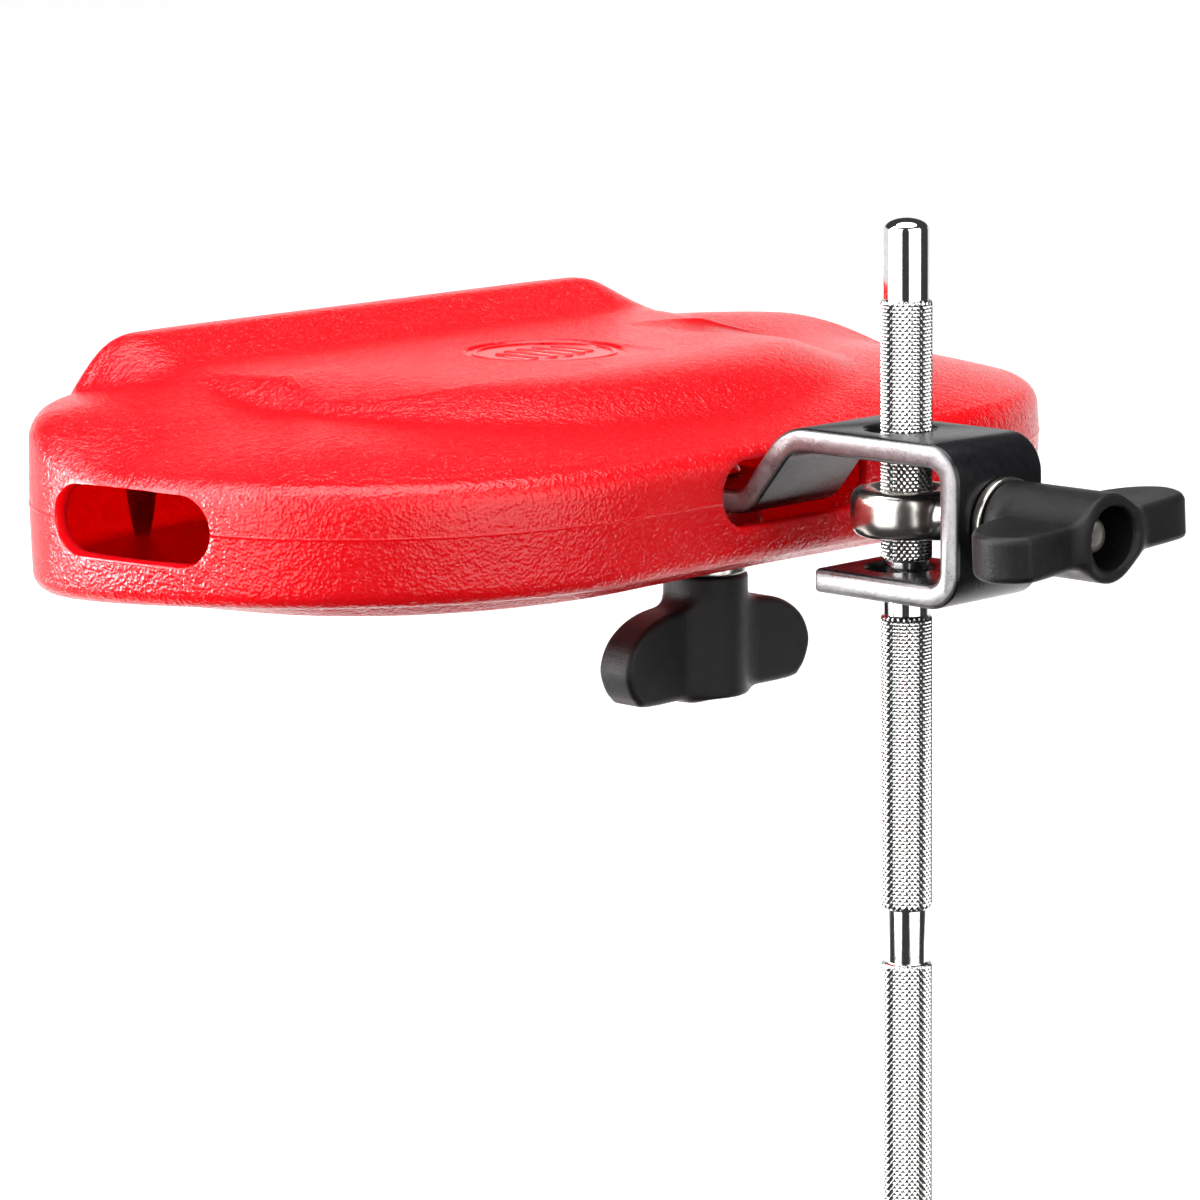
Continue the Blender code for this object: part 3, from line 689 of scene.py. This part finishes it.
def make_eye_bolt():
    """The eye and its neck, settled on their smooth shape, with the threaded shank behind them."""
    profile = arc(EYE_MIDDLE_R, 0, EYE_HALF_WALL, 90, 450, 24)[:-1]
    ring = turned("ring", [(r, 1.5 * z) for r, z in profile], 96, closed=True)
    neck = cylinder(NECK_R, 7.5 * MM, -NECK_END_Y)
    neck.transform(OUTWARD)
    base = remeshed(combined(ring, [neck], "UNION"), 0.35 * MM)
    eye = settle(base, eye_distance)
    eye.transform(at(0, 0, CLAMP_Z))
    shank = threaded_shank(-NECK_END_Y - MM, -EYE_LOW.y)
    shank.transform(at(0, 0, CLAMP_Z) @ OUTWARD)
    mesh = joined("eye_bolt", [eye, shank])
    bolt = finish_piece(mesh, "eye_bolt_fine", "eye_bolt", nickel, ["eye_bolt"], 60)
    bolt.data.materials.append(zinc)
    for face in bolt.data.polygons:
        face.material_index = int(face.center.y < NECK_END_Y)


def make_mount_bolt():
    """The carriage bolt: a domed head, a square neck in the strap and a threaded shank down through the block."""
    low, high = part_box("mount_bolt")
    under_head = high.z - HEAD_HEIGHT
    dome = [
        (HEAD_R * math.sin(math.radians(7.5 * k)), HEAD_HEIGHT * math.cos(math.radians(7.5 * k)))
        for k in range(12)
    ]
    head = turned("head", dome + arc(HEAD_R - HEAD_EDGE, HEAD_EDGE, HEAD_EDGE, 0, -90) + [(0, 0)])
    head.transform(at(0, MOUNT_Y, under_head))
    bm = bmesh.new()
    bmesh.ops.create_cube(bm, size=SQUARE_NECK, matrix=at(0, MOUNT_Y, under_head - SQUARE_NECK / 4))
    bmesh.ops.bevel(bm, geom=bm.edges, offset=0.4 * MM, segments=3, affect="EDGES")
    neck = bpy.data.meshes.new("neck")
    bm.to_mesh(neck)
    bm.free()
    shank = threaded_shank(0, under_head - low.z)
    shank.transform(at(0, MOUNT_Y, under_head) @ DOWNWARD)
    mesh = joined("mount_bolt", [head, neck, shank])
    finish_piece(mesh, "carriage_bolt", "bracket", zinc, ["mount_bolt"])


def make_washer(node, body, world):
    low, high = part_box(node)
    inner = (high.x - low.x) / 2 - WASHER_EDGE
    lip = 0.2 * MM
    profile = arc(inner, WASHER - WASHER_EDGE, WASHER_EDGE, 90, 0) + arc(inner, WASHER_EDGE, WASHER_EDGE, 0, -90)
    profile += [(BOLT_HOLE_R + lip, 0), (BOLT_HOLE_R, lip)]
    profile += [(BOLT_HOLE_R, WASHER - lip), (BOLT_HOLE_R + lip, WASHER)]
    mesh = turned(node, profile, closed=True)
    mesh.transform(world)
    finish_piece(mesh, f"{node}_fine", body, nickel, [node])


# Wing nuts


def wing_outline():
    """The wings seen square on, as (x, z) points, z from the hub's base to its free end."""
    half = [
        (5.0 * MM, 5.2 * MM),
        (10.0 * MM, 5.6 * MM),
        (15.5 * MM, 6.4 * MM),
        (20.0 * MM, 8.2 * MM),
        (23.6 * MM, 11.2 * MM),
        (WING_SPAN / 2, 15.4 * MM),
        (24.7 * MM, 19.0 * MM),
        (22.8 * MM, 21.8 * MM),
        (19.6 * MM, 23.1 * MM),
        (5.0 * MM, 23.1 * MM),
    ]
    return half + [(-x, z) for x, z in reversed(half)]


def outline_distance(points, outline):
    """Signed distance in the plane from (n, 2) points to a closed outline, negative inside."""
    corners = np.array(outline)
    nearest = np.full(len(points), np.inf)
    inside = np.zeros(len(points), bool)
    for a, b in zip(corners, np.roll(corners, -1, axis=0)):
        edge = b - a
        share = np.clip(((points - a) @ edge) / (edge @ edge), 0, 1)
        gap = points - a - share[:, None] * edge
        nearest = np.minimum(nearest, np.hypot(*gap.T))
        crosses = (a[1] > points[:, 1]) != (b[1] > points[:, 1])
        if a[1] != b[1]:
            inside ^= crosses & (points[:, 0] < a[0] + (points[:, 1] - a[1]) * edge[0] / edge[1])
    return np.where(inside, -nearest, nearest)


WING_CURVE = [tuple(p) for p in closed_curve(wing_outline(), 4)]


def wing_nut_distance(points):
    """One wing nut, base at z = 0: hub and wings joined by a fillet, less the end recess and the bore."""
    x, y, z = points.T
    from_axis = np.hypot(x, y)
    hub = rounded(from_axis - HUB_R, np.abs(z - HUB_LENGTH / 2) - HUB_LENGTH / 2, HUB_EDGE)
    face = outline_distance(np.stack([x, z], axis=1), WING_CURVE)
    swell = WING_SWELL * np.clip(np.abs(x) / (WING_SPAN / 2), 0, 1)
    wings = rounded(face, np.abs(y) - WING_THICKNESS / 2 + WING_SWELL - swell, WING_EDGE)
    body = blended(hub, wings, WING_FILLET)
    recess = -np.maximum(from_axis - RECESS_R, RECESS_FLOOR - z)
    bore = INSERT_R + 0.05 * MM - from_axis
    lip = NUT_BORE_R - from_axis
    hollow = np.where(z < INSERT_LENGTH + 0.1 * MM, bore, lip)
    return np.maximum(np.maximum(rounded(body, recess, RECESS_EDGE), hollow), -z)


def wing_nut_mesh():
    """One wing nut up local Z, its base at 0: a rough solid, made again in even faces and settled."""
    hub = cylinder(HUB_R, 0, HUB_LENGTH)
    wings = flat_outline("wings", WING_CURVE, WING_THICKNESS / 2)
    wings.transform(Matrix.Rotation(math.radians(90), 4, "X"))
    solid = combined(hub, [wings], "UNION")
    recess = cylinder(RECESS_R, RECESS_FLOOR, 2 * HUB_LENGTH)
    pocket = cylinder(INSERT_R, -MM, INSERT_LENGTH)
    lip = cylinder(NUT_BORE_R, 0, HUB_LENGTH)
    base = remeshed(combined(solid, [recess, pocket, lip]), 0.4 * MM)
    return settle(base, wing_nut_distance)


def insert_mesh():
    """A plated insert with a plain bore."""
    inner = INSERT_R - INSERT_EDGE
    profile = arc(inner, INSERT_LENGTH - INSERT_EDGE, INSERT_EDGE, 90, 0)
    profile += arc(inner, INSERT_EDGE, INSERT_EDGE, 0, -90)
    profile += [(BOLT_HOLE_R, 0), (BOLT_HOLE_R, INSERT_LENGTH)]
    return turned("insert", profile, 64, closed=True)


def make_nut(prefix, body, world):
    nut = wing_nut_mesh()
    nut.transform(world)
    finish_piece(nut, f"{prefix}_wing_nut_fine", body, nylon, [f"{prefix}_wing_nut"], 70)
    insert = insert_mesh()
    insert.transform(world)
    finish_piece(insert, f"{prefix}_nut_insert_fine", body, zinc, [f"{prefix}_nut_insert"])


# Block


def block_outline(steps):
    """The block seen from above, as a smooth closed curve with a number of steps to each given point."""
    right = [(x * MM, y * MM) for x, y in HALF_OUTLINE]
    left = [(-x, y) for x, y in reversed(right[1:-1])]
    return closed_curve(right + left, steps)


def rounded_ramp(value, head, foot):
    """From 0 to 1, curving in over the first part, straight, and curving out over the last."""
    value = min(max(value, 0.0), 1.0)
    steep = 1 / (1 - head / 2 - foot / 2)
    if value < head:
        return steep * value**2 / (2 * head)
    if value > 1 - foot:
        return 1 - steep * (1 - value) ** 2 / (2 * foot)
    return steep * (value - head / 2)


def top_height(x, y, inset):
    """The top surface: a low dome that rises from the rim, and the raised plateau with its ridge."""
    corner = smoothstep(y, CORNER_START_Y, CORNER_END_Y)
    share = min(inset / DOME_REACH, 1.0)
    dome = DOME_RISE * (1 - 0.5 * corner) * (1 - (1 - share) ** 2)
    low = EDGE_Z + FRONT_CORNER_RISE * corner + dome
    front = smoothstep(y, RIDGE_START_Y, RIDGE_CREST_Y)
    half_width = PLATEAU_HALF_WIDTH + (RIDGE_HALF_WIDTH - PLATEAU_HALF_WIDTH) * front
    sideways = (abs(x) / half_width) ** PLATEAU_POWER
    backward = (max(PLATEAU_CENTRE_Y - y, 0.0) / PLATEAU_REACH) ** PLATEAU_POWER
    rear_share = backward / (sideways + backward + 1e-9)
    fade = 1.3 + 1.3 * rear_share + 0.35 * front
    head = 0.35 + 0.15 * rear_share
    drop = rounded_ramp((sideways + backward - PLATEAU_EDGE) / (fade - PLATEAU_EDGE), head, 0.25)
    ridge = RIDGE_RISE * rounded_ramp((y - RIDGE_FOOT_Y) / (RIDGE_CREST_Y - RIDGE_FOOT_Y), 0.25, 0.15)
    return low + (1 - drop) * (PLATEAU_Z + ridge - low)


def rim_height(y):
    return RIM_Z - RIM_FRONT_DROP * smoothstep(y, 40 * MM, 130 * MM)


def block_rows():
    """How each ring of the outer skin lies, from underneath to the top: (inset, base, height above it)."""
    rows = [(30 * MM, "platform", 0), (20 * MM, "platform", 0), (13.5 * MM, "platform", 0)]
    rows += [(12.5 * MM, "foot", 0.1), (10.5 * MM, "foot", 0.5), (8.5 * MM, "foot", 0.9), (7.5 * MM, "rim", 0)]
    rows.append((5.5 * MM, "rim", 0))
    for step in range(7):
        swing = math.radians(15 * step)
        inset = BOTTOM_FILLET * (1 - math.sin(swing)) + DRAFT
        rows.append((inset, "rim", BOTTOM_FILLET * (1 - math.cos(swing))))
    for step in range(1, 6):
        rows.append((DRAFT * (1 - step / 6), "lower wall", step / 6))
    for inset, above in ((0.05, -0.45), (0.03, -0.25), (-0.09, -0.10), (-0.11, 0.10), (0.03, 0.24), (0.05, 0.45)):
        rows.append((inset * MM, "parting", above * MM))
    for step in range(1, 6):
        rows.append((DRAFT * step / 6, "upper wall", step / 6))
    for step in range(9):
        swing = math.radians(90 * step / 8)
        inset = TOP_FILLET * (1 - math.cos(swing)) + DRAFT
        rows.append((inset, "shoulder", -TOP_FILLET * (1 - math.sin(swing))))
    rows += [((5.8 + 1.25 * k) * MM, "top", 0) for k in range(36)]
    return rows


def cavity_rows():
    """The same for the hollow inside, a wall's thickness in from the outer skin."""
    rows = [(30 * MM, "platform", WALL), (15 * MM, "platform", WALL), (9.5 * MM, "rim", WALL)]
    for step in range(5):
        swing = math.radians(22.5 * step)
        inset = WALL + DRAFT + CAVITY_FILLET * (1 - math.sin(swing))
        rows.append((inset, "rim", WALL + CAVITY_FILLET * (1 - math.cos(swing))))
    rows += [(WALL, "parting", 0)]
    for step in range(5):
        swing = math.radians(22.5 * step)
        inset = WALL + DRAFT + CAVITY_FILLET * (1 - math.cos(swing))
        rows.append((inset, "shoulder", -WALL - CAVITY_FILLET * (1 - math.sin(swing))))
    rows += [((8 + 2.4 * k) * MM, "top", -WALL) for k in range(18)]
    return rows


def ring_points(outline, inset, base, above):
    """One ring of the skin: the outline moved in towards the block's spine, at the height of its base.

    On the walls above is the share of the wall's height, and everywhere else it is a height in metres."""
    made = []
    for point in outline:
        spine = Vector((point.x * SPINE_SCALE, SPINE_Y))
        inwards = (spine - point).normalized()
        place = point + inwards * inset
        rim = rim_height(place.y)
        if base == "top":
            z = top_height(place.x, place.y, inset) + above
        elif base in ("shoulder", "upper wall"):
            corner = point + inwards * (TOP_FILLET + DRAFT)
            shoulder = top_height(corner.x, corner.y, TOP_FILLET)
            z = shoulder + above
            if base == "upper wall":
                z = PARTING_Z + PARTING_BAND + (shoulder - TOP_FILLET - PARTING_Z - PARTING_BAND) * above
        elif base == "lower wall":
            low = rim + BOTTOM_FILLET
            z = low + (PARTING_Z - PARTING_BAND - low) * above
        elif base == "foot":
            z = PLATFORM_Z + (rim - PLATFORM_Z) * above
        else:
            z = {"platform": PLATFORM_Z, "rim": rim, "parting": PARTING_Z}[base] + above
        made.append((place.x, place.y, z))
    return np.array(made)


def capped(name, rings):
    """A skin over rings of points, with a flat face closing each end."""
    mesh = rings_mesh(name, rings)
    bm = bmesh.new()
    bm.from_mesh(mesh)
    bm.verts.ensure_lookup_table()
    count = len(rings[0])
    total = len(bm.verts)
    bm.faces.new([bm.verts[i] for i in range(count)])
    bm.faces.new([bm.verts[i] for i in reversed(range(total - count, total))])
    bmesh.ops.triangulate(bm, faces=[f for f in bm.faces if len(f.verts) > 4])
    bmesh.ops.recalc_face_normals(bm, faces=bm.faces)
    bm.to_mesh(mesh)
    bm.free()
    return mesh


def block_skin():
    """The outer skin less the hollow inside it."""
    outside = block_outline(14)
    inside = block_outline(7)
    outer = capped("block", [ring_points(outside, *row) for row in block_rows()])
    cavity = capped("cavity", [ring_points(inside, *row) for row in cavity_rows()])
    return combined(outer, [cavity])


def stadium(length, height, offset, arc_steps=20):
    """A long round-ended outline in the plane, offset outwards."""
    radius = height / 2 + offset
    straight = length / 2 - height / 2
    points = []
    for centre, first in ((straight, -90), (-straight, 90)):
        for step in range(arc_steps + 1):
            angle = math.radians(first + 180 * step / arc_steps)
            points.append((centre + radius * math.cos(angle), radius * math.sin(angle)))
    return points


def slot_cutter(length, height, skin, lip, taper):
    """A slot through the wall in local XZ, local +Y inwards. skin(x) is the local Y of the wall's face there.

    Its mouth is rounded by lip, and it narrows by taper on its way in."""
    mouth = [math.radians(angle) for angle in (12, 25, 40, 55, 70, 90)]
    depths = [-2.5 * MM] + [lip * (1 - math.cos(angle)) for angle in mouth] + [WALL, 3 * WALL]
    offsets = [lip * 1.5] + [lip * (1 - math.sin(angle)) for angle in mouth] + [-taper, -taper]
    rings = []
    for depth, offset in zip(depths, offsets):
        ring = [(x, skin(x) + depth, z) for x, z in stadium(length, height, offset)]
        rings.append(np.array(ring))
    return capped("slot", rings)


def end_wall(y):
    """How far from the middle plane the block's end wall is at y."""
    wall = [(p.y, p.x) for p in block_outline(8) if p.x > 60 * MM]
    wall.sort()
    ys, xs = zip(*wall)
    return float(np.interp(y, ys, xs))


def outside_slot(along, up, length, height):
    """How far a point is outside a slot's outline, from where it lies against the slot's middle."""
    past_end = abs(along) - (length - height) / 2
    return math.hypot(max(past_end, 0), up) - height / 2


def paint_grain(mesh):
    """Writes where the moulded grain shows: all over, but not on cut lips or on the emblem."""
    grain = mesh.attributes.new("grain", "FLOAT", "FACE")
    values = []
    for face in mesh.polygons:
        x, y, z = face.center
        high = z - CLAMP_Z
        near = MM
        if abs(x) > 95 * MM:
            near = outside_slot(y - SOUND_SLOT_Y, high - SOUND_SLOT_Z, SOUND_SLOT_LENGTH, SOUND_SLOT_HEIGHT)
        elif y < 40 * MM:
            near = outside_slot(x - TONGUE_SLOT_X, high - TONGUE_SLOT_Z, TONGUE_SLOT_LENGTH, TONGUE_SLOT_HEIGHT)
        value = smoothstep(near, 0.2 * MM, 0.6 * MM)
        if high > PLATEAU_Z - 2 * MM:
            value *= smoothstep(math.hypot(x, y - SPINE_Y), EMBLEM_R - 0.2 * MM, EMBLEM_R + 0.4 * MM)
        values.append(value)
    grain.data.foreach_set("value", values)


def emblem_marks(floor):
    """A plain raised ring round five rounded bars, on the floor of the round dish in the plateau."""
    low, high = floor - MARK_ROOT, floor + MARK_HEIGHT
    inner, outer = MARK_RING_R - MARK_RING_HALF_WIDTH, MARK_RING_R + MARK_RING_HALF_WIDTH
    ring = [(inner, low), (outer, low), (outer, high - 0.1 * MM), (outer - 0.2 * MM, high)]
    ring += [(inner + 0.2 * MM, high), (inner, high - 0.1 * MM)]
    marks = [turned("ring", ring, closed=True)]
    for place in range(-2, 3):
        x = place * BAR_SPACING
        length = 1.3 * math.sqrt(BARS_R**2 - x**2)
        rings = []
        for z, offset in ((low, 0.0), (high - 0.12 * MM, 0.0), (high, -0.14 * MM)):
            outline = stadium(length, BAR_WIDTH, offset, 8)
            rings.append(np.array([(x + across, along, z) for along, across in outline]))
        marks.append(clean(capped("bar", rings)))
    for mark in marks:
        mark.transform(at(0, SPINE_Y, 0))
    return marks


def make_block():
    """The hollow block with its boss and two tapered posts, and its openings with rounded lips."""
    foot = PLATFORM_Z + WALL / 2
    boss = cylinder(BOSS_R, foot, TONGUE_UNDERSIDE - 0.3 * MM)
    boss.transform(at(0, MOUNT_Y, 0))
    extras = [boss]
    shares = [1 - step / 24 for step in range(25)]
    profile = [(0, POST_TOP)]
    profile += [(POST_R * math.sqrt(0.04 + 0.96 * k), foot + (POST_TOP - foot) * k) for k in shares]
    profile.append((0, foot))
    for side in (-1, 1):
        post = turned("post", profile, 48)
        post.transform(at(side * POST_X, POST_Y, 0))
        extras.append(post)
    solid = combined(block_skin(), extras, "UNION")

    bolt_hole = cylinder(BOLT_HOLE_R, 2 * PLATFORM_Z, 0)
    bolt_hole.transform(at(0, MOUNT_Y, 0))
    tongue_slot = slot_cutter(
        TONGUE_SLOT_LENGTH + TONGUE_SLOT_ROOM,
        TONGUE_SLOT_HEIGHT + TONGUE_SLOT_ROOM,
        lambda x: HALF_OUTLINE[0][1] * MM,
        TONGUE_SLOT_LIP,
        0.0,
    )
    tongue_slot.transform(at(TONGUE_SLOT_X, 0, TONGUE_SLOT_Z))
    cutters = [bolt_hole, tongue_slot]
    for side in (-1, 1):
        turn = Matrix(((0, -side, 0, 0), (1, 0, 0, SOUND_SLOT_Y), (0, 0, 1, SOUND_SLOT_Z), (0, 0, 0, 1)))
        sound_slot = slot_cutter(
            SOUND_SLOT_LENGTH,
            SOUND_SLOT_HEIGHT,
            lambda x: -end_wall(x + SOUND_SLOT_Y),
            SOUND_SLOT_LIP,
            SOUND_SLOT_TAPER,
        )
        sound_slot.transform(turn)
        cutters.append(clean(sound_slot))
    floor = PLATEAU_Z - EMBLEM_DEPTH
    rim, top = EMBLEM_R + 0.6 * MM, 30 * MM
    profile = [(0, top), (rim, top), (rim, PLATEAU_Z + 0.25 * MM)]
    profile += [(EMBLEM_R, PLATEAU_Z - 0.2 * MM), (EMBLEM_R - 0.25 * MM, floor), (0, floor)]
    dish = turned("dish", profile, 128)
    dish.transform(at(0, SPINE_Y, 0))
    cutters.append(dish)
    mesh = combined(combined(solid, cutters), emblem_marks(floor), "UNION")
    mesh.transform(at(0, 0, CLAMP_Z))
    paint_grain(mesh)
    finish_piece(mesh, "block_fine", "block", red, ["block_shell"], 50)


make_rod()
make_bracket()
make_eye_bolt()
make_mount_bolt()
make_washer("clamp_washer", "bracket", at(0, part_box("clamp_washer")[1].y, CLAMP_Z) @ OUTWARD)
make_washer("mount_washer", "mount_washer", at(0, MOUNT_Y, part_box("mount_washer")[1].z) @ DOWNWARD)
tilt = Matrix.Rotation(-CLAMP_NUT_TILT, 4, "Y")
make_nut("clamp", "clamp_nut", at(0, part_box("clamp_wing_nut")[1].y, CLAMP_Z) @ tilt @ OUTWARD)
make_nut("mount", "mount_nut", at(0, MOUNT_Y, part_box("mount_wing_nut")[1].z) @ DOWNWARD)
make_block()


# Stage, light and camera

VIEW_AZIMUTH = math.radians(45.34)  # the camera looks this far from +Y towards +X
VIEW_PITCH = math.radians(10.229)
VIEW_ROLL = math.radians(-0.627)
VIEW_LENS = 150.275  # for a sensor 36 mm wide
VIEW_PLACE = Vector((-686.33 * MM, -598.77 * MM, CLAMP_Z + 147.9 * MM))
LIGHT_TARGET = Vector((-20 * MM, 60 * MM, CLAMP_Z))
LIGHT_DISTANCE = 1.6
FLOOR_DROP = 2 * MM  # below the rod's foot
FLOOR_GREY = 0.93
WHITE_BEHIND = 0.95
DIM_ELSEWHERE = 0.05
forward = Vector((math.sin(VIEW_AZIMUTH), math.cos(VIEW_AZIMUTH), 0))
sideways = Vector((math.cos(VIEW_AZIMUTH), -math.sin(VIEW_AZIMUTH), 0))
up = Vector((0, 0, 1))


def floor_sheet(name, corners, material):
    """A flat sheet just under the rod's foot. Corners are (away from the camera, across) in metres."""
    points = [forward * away + sideways * across - up * FLOOR_DROP for away, across in corners]
    mesh = bpy.data.meshes.new(name)
    mesh.from_pydata(points, [], [(0, 1, 2, 3)])
    mesh.materials.append(material)
    sheet = new_object(name, mesh)
    return sheet


def make_stage():
    """A pale floor. Its sheet on the camera's side doesn't show in gloss and sends no light up to the object."""
    material = bpy.data.materials.new("pale_floor")
    material.use_nodes = True
    surface = material.node_tree.nodes["Principled BSDF"]
    surface.inputs["Base Color"].default_value = (FLOOR_GREY, FLOOR_GREY, FLOOR_GREY, 1)
    surface.inputs["Roughness"].default_value = 0.9
    surface.inputs["Specular IOR Level"].default_value = 0.0
    floor_sheet("studio_floor", [(0.05, 0.30), (40.0, 7.0), (40.0, -7.0), (0.05, -0.30)], material)
    near = floor_sheet("studio_floor_near", [(-1.0, 0.8), (0.05, 0.8), (0.05, -0.8), (-1.0, -0.8)], material)
    near.visible_glossy = False
    near.visible_diffuse = False


def make_camera():
    look = forward * math.cos(VIEW_PITCH) - up * math.sin(VIEW_PITCH)
    above = sideways.cross(look)
    right = sideways * math.cos(VIEW_ROLL) + above * math.sin(VIEW_ROLL)
    top = above * math.cos(VIEW_ROLL) - sideways * math.sin(VIEW_ROLL)
    data = bpy.data.cameras.new("camera")
    data.sensor_width = 36
    data.lens = VIEW_LENS
    data.clip_start = 0.05
    data.clip_end = 100
    camera = bpy.data.objects.new("camera", data)
    camera.matrix_world = at(*VIEW_PLACE) @ Matrix((right, top, -look)).transposed().to_4x4()
    bpy.context.scene.collection.objects.link(camera)
    bpy.context.scene.camera = camera


def softbox(name, azimuth, elevation, width, height, power):
    """An area light aimed near the clamp, azimuth in degrees from the camera, positive to its right."""
    turn = math.radians(azimuth)
    level = -forward * math.cos(turn) + sideways * math.sin(turn)
    away = level * math.cos(math.radians(elevation)) + up * math.sin(math.radians(elevation))
    data = bpy.data.lights.new(name, "AREA")
    data.shape = "RECTANGLE"
    data.size = width
    data.size_y = height
    data.energy = power
    lamp = bpy.data.objects.new(name, data)
    lamp.location = LIGHT_TARGET + away * LIGHT_DISTANCE
    lamp.rotation_mode = "QUATERNION"
    lamp.rotation_quaternion = (-away).to_track_quat("-Z", "Y")
    bpy.context.scene.collection.objects.link(lamp)


def overhead(power, spread):
    """A soft sun straight down, spread in degrees across."""
    data = bpy.data.lights.new("overhead", "SUN")
    data.energy = power
    data.angle = math.radians(spread)
    bpy.context.scene.collection.objects.link(bpy.data.objects.new("overhead", data))


def make_world():
    """White low behind the object, dim elsewhere, and plain white where the camera sees it."""
    world = bpy.data.worlds.new("studio")
    world.use_nodes = True
    bpy.context.scene.world = world
    tree = world.node_tree
    nodes, links = tree.nodes, tree.links
    back = nodes["Background"]
    place = nodes.new("ShaderNodeTexCoord").outputs["Generated"]

    def along(direction, dark_at, white_at):
        """0 to 1 as a ray turns from one cosine against a direction to another."""
        dot = nodes.new("ShaderNodeVectorMath")
        dot.operation = "DOT_PRODUCT"
        links.new(place, dot.inputs[0])
        dot.inputs[1].default_value = direction
        share = nodes.new("ShaderNodeMapRange")
        share.interpolation_type = "SMOOTHSTEP"
        links.new(dot.outputs["Value"], share.inputs["Value"])
        share.inputs["From Min"].default_value = dark_at
        share.inputs["From Max"].default_value = white_at
        return share.outputs["Result"]

    behind = nodes.new("ShaderNodeMath")
    behind.operation = "MULTIPLY"
    links.new(along(forward - 0.25 * sideways, 0.32, 0.52), behind.inputs[0])
    links.new(along(-up, -0.32, -0.16), behind.inputs[1])
    grey = nodes.new("ShaderNodeMapRange")
    links.new(behind.outputs[0], grey.inputs["Value"])
    grey.inputs["To Min"].default_value = DIM_ELSEWHERE
    grey.inputs["To Max"].default_value = WHITE_BEHIND
    path = nodes.new("ShaderNodeLightPath")
    mix = nodes.new("ShaderNodeMix")
    links.new(path.outputs["Is Camera Ray"], mix.inputs["Factor"])
    links.new(grey.outputs["Result"], mix.inputs["A"])
    mix.inputs["B"].default_value = 1.0
    links.new(mix.outputs["Result"], back.inputs["Color"])


make_stage()
make_camera()
make_world()
softbox("left_strip", -82, 26, 0.62, 2.4, 36)
softbox("left_spark", -91, 3, 0.45, 0.9, 24)
softbox("left_softbox", -47, 12, 1.4, 1.8, 24)
softbox("right_softbox", 41, 12, 1.9, 1.8, 24)
overhead(3.05, 60)
bpy.context.scene.view_settings.view_transform = "Standard"
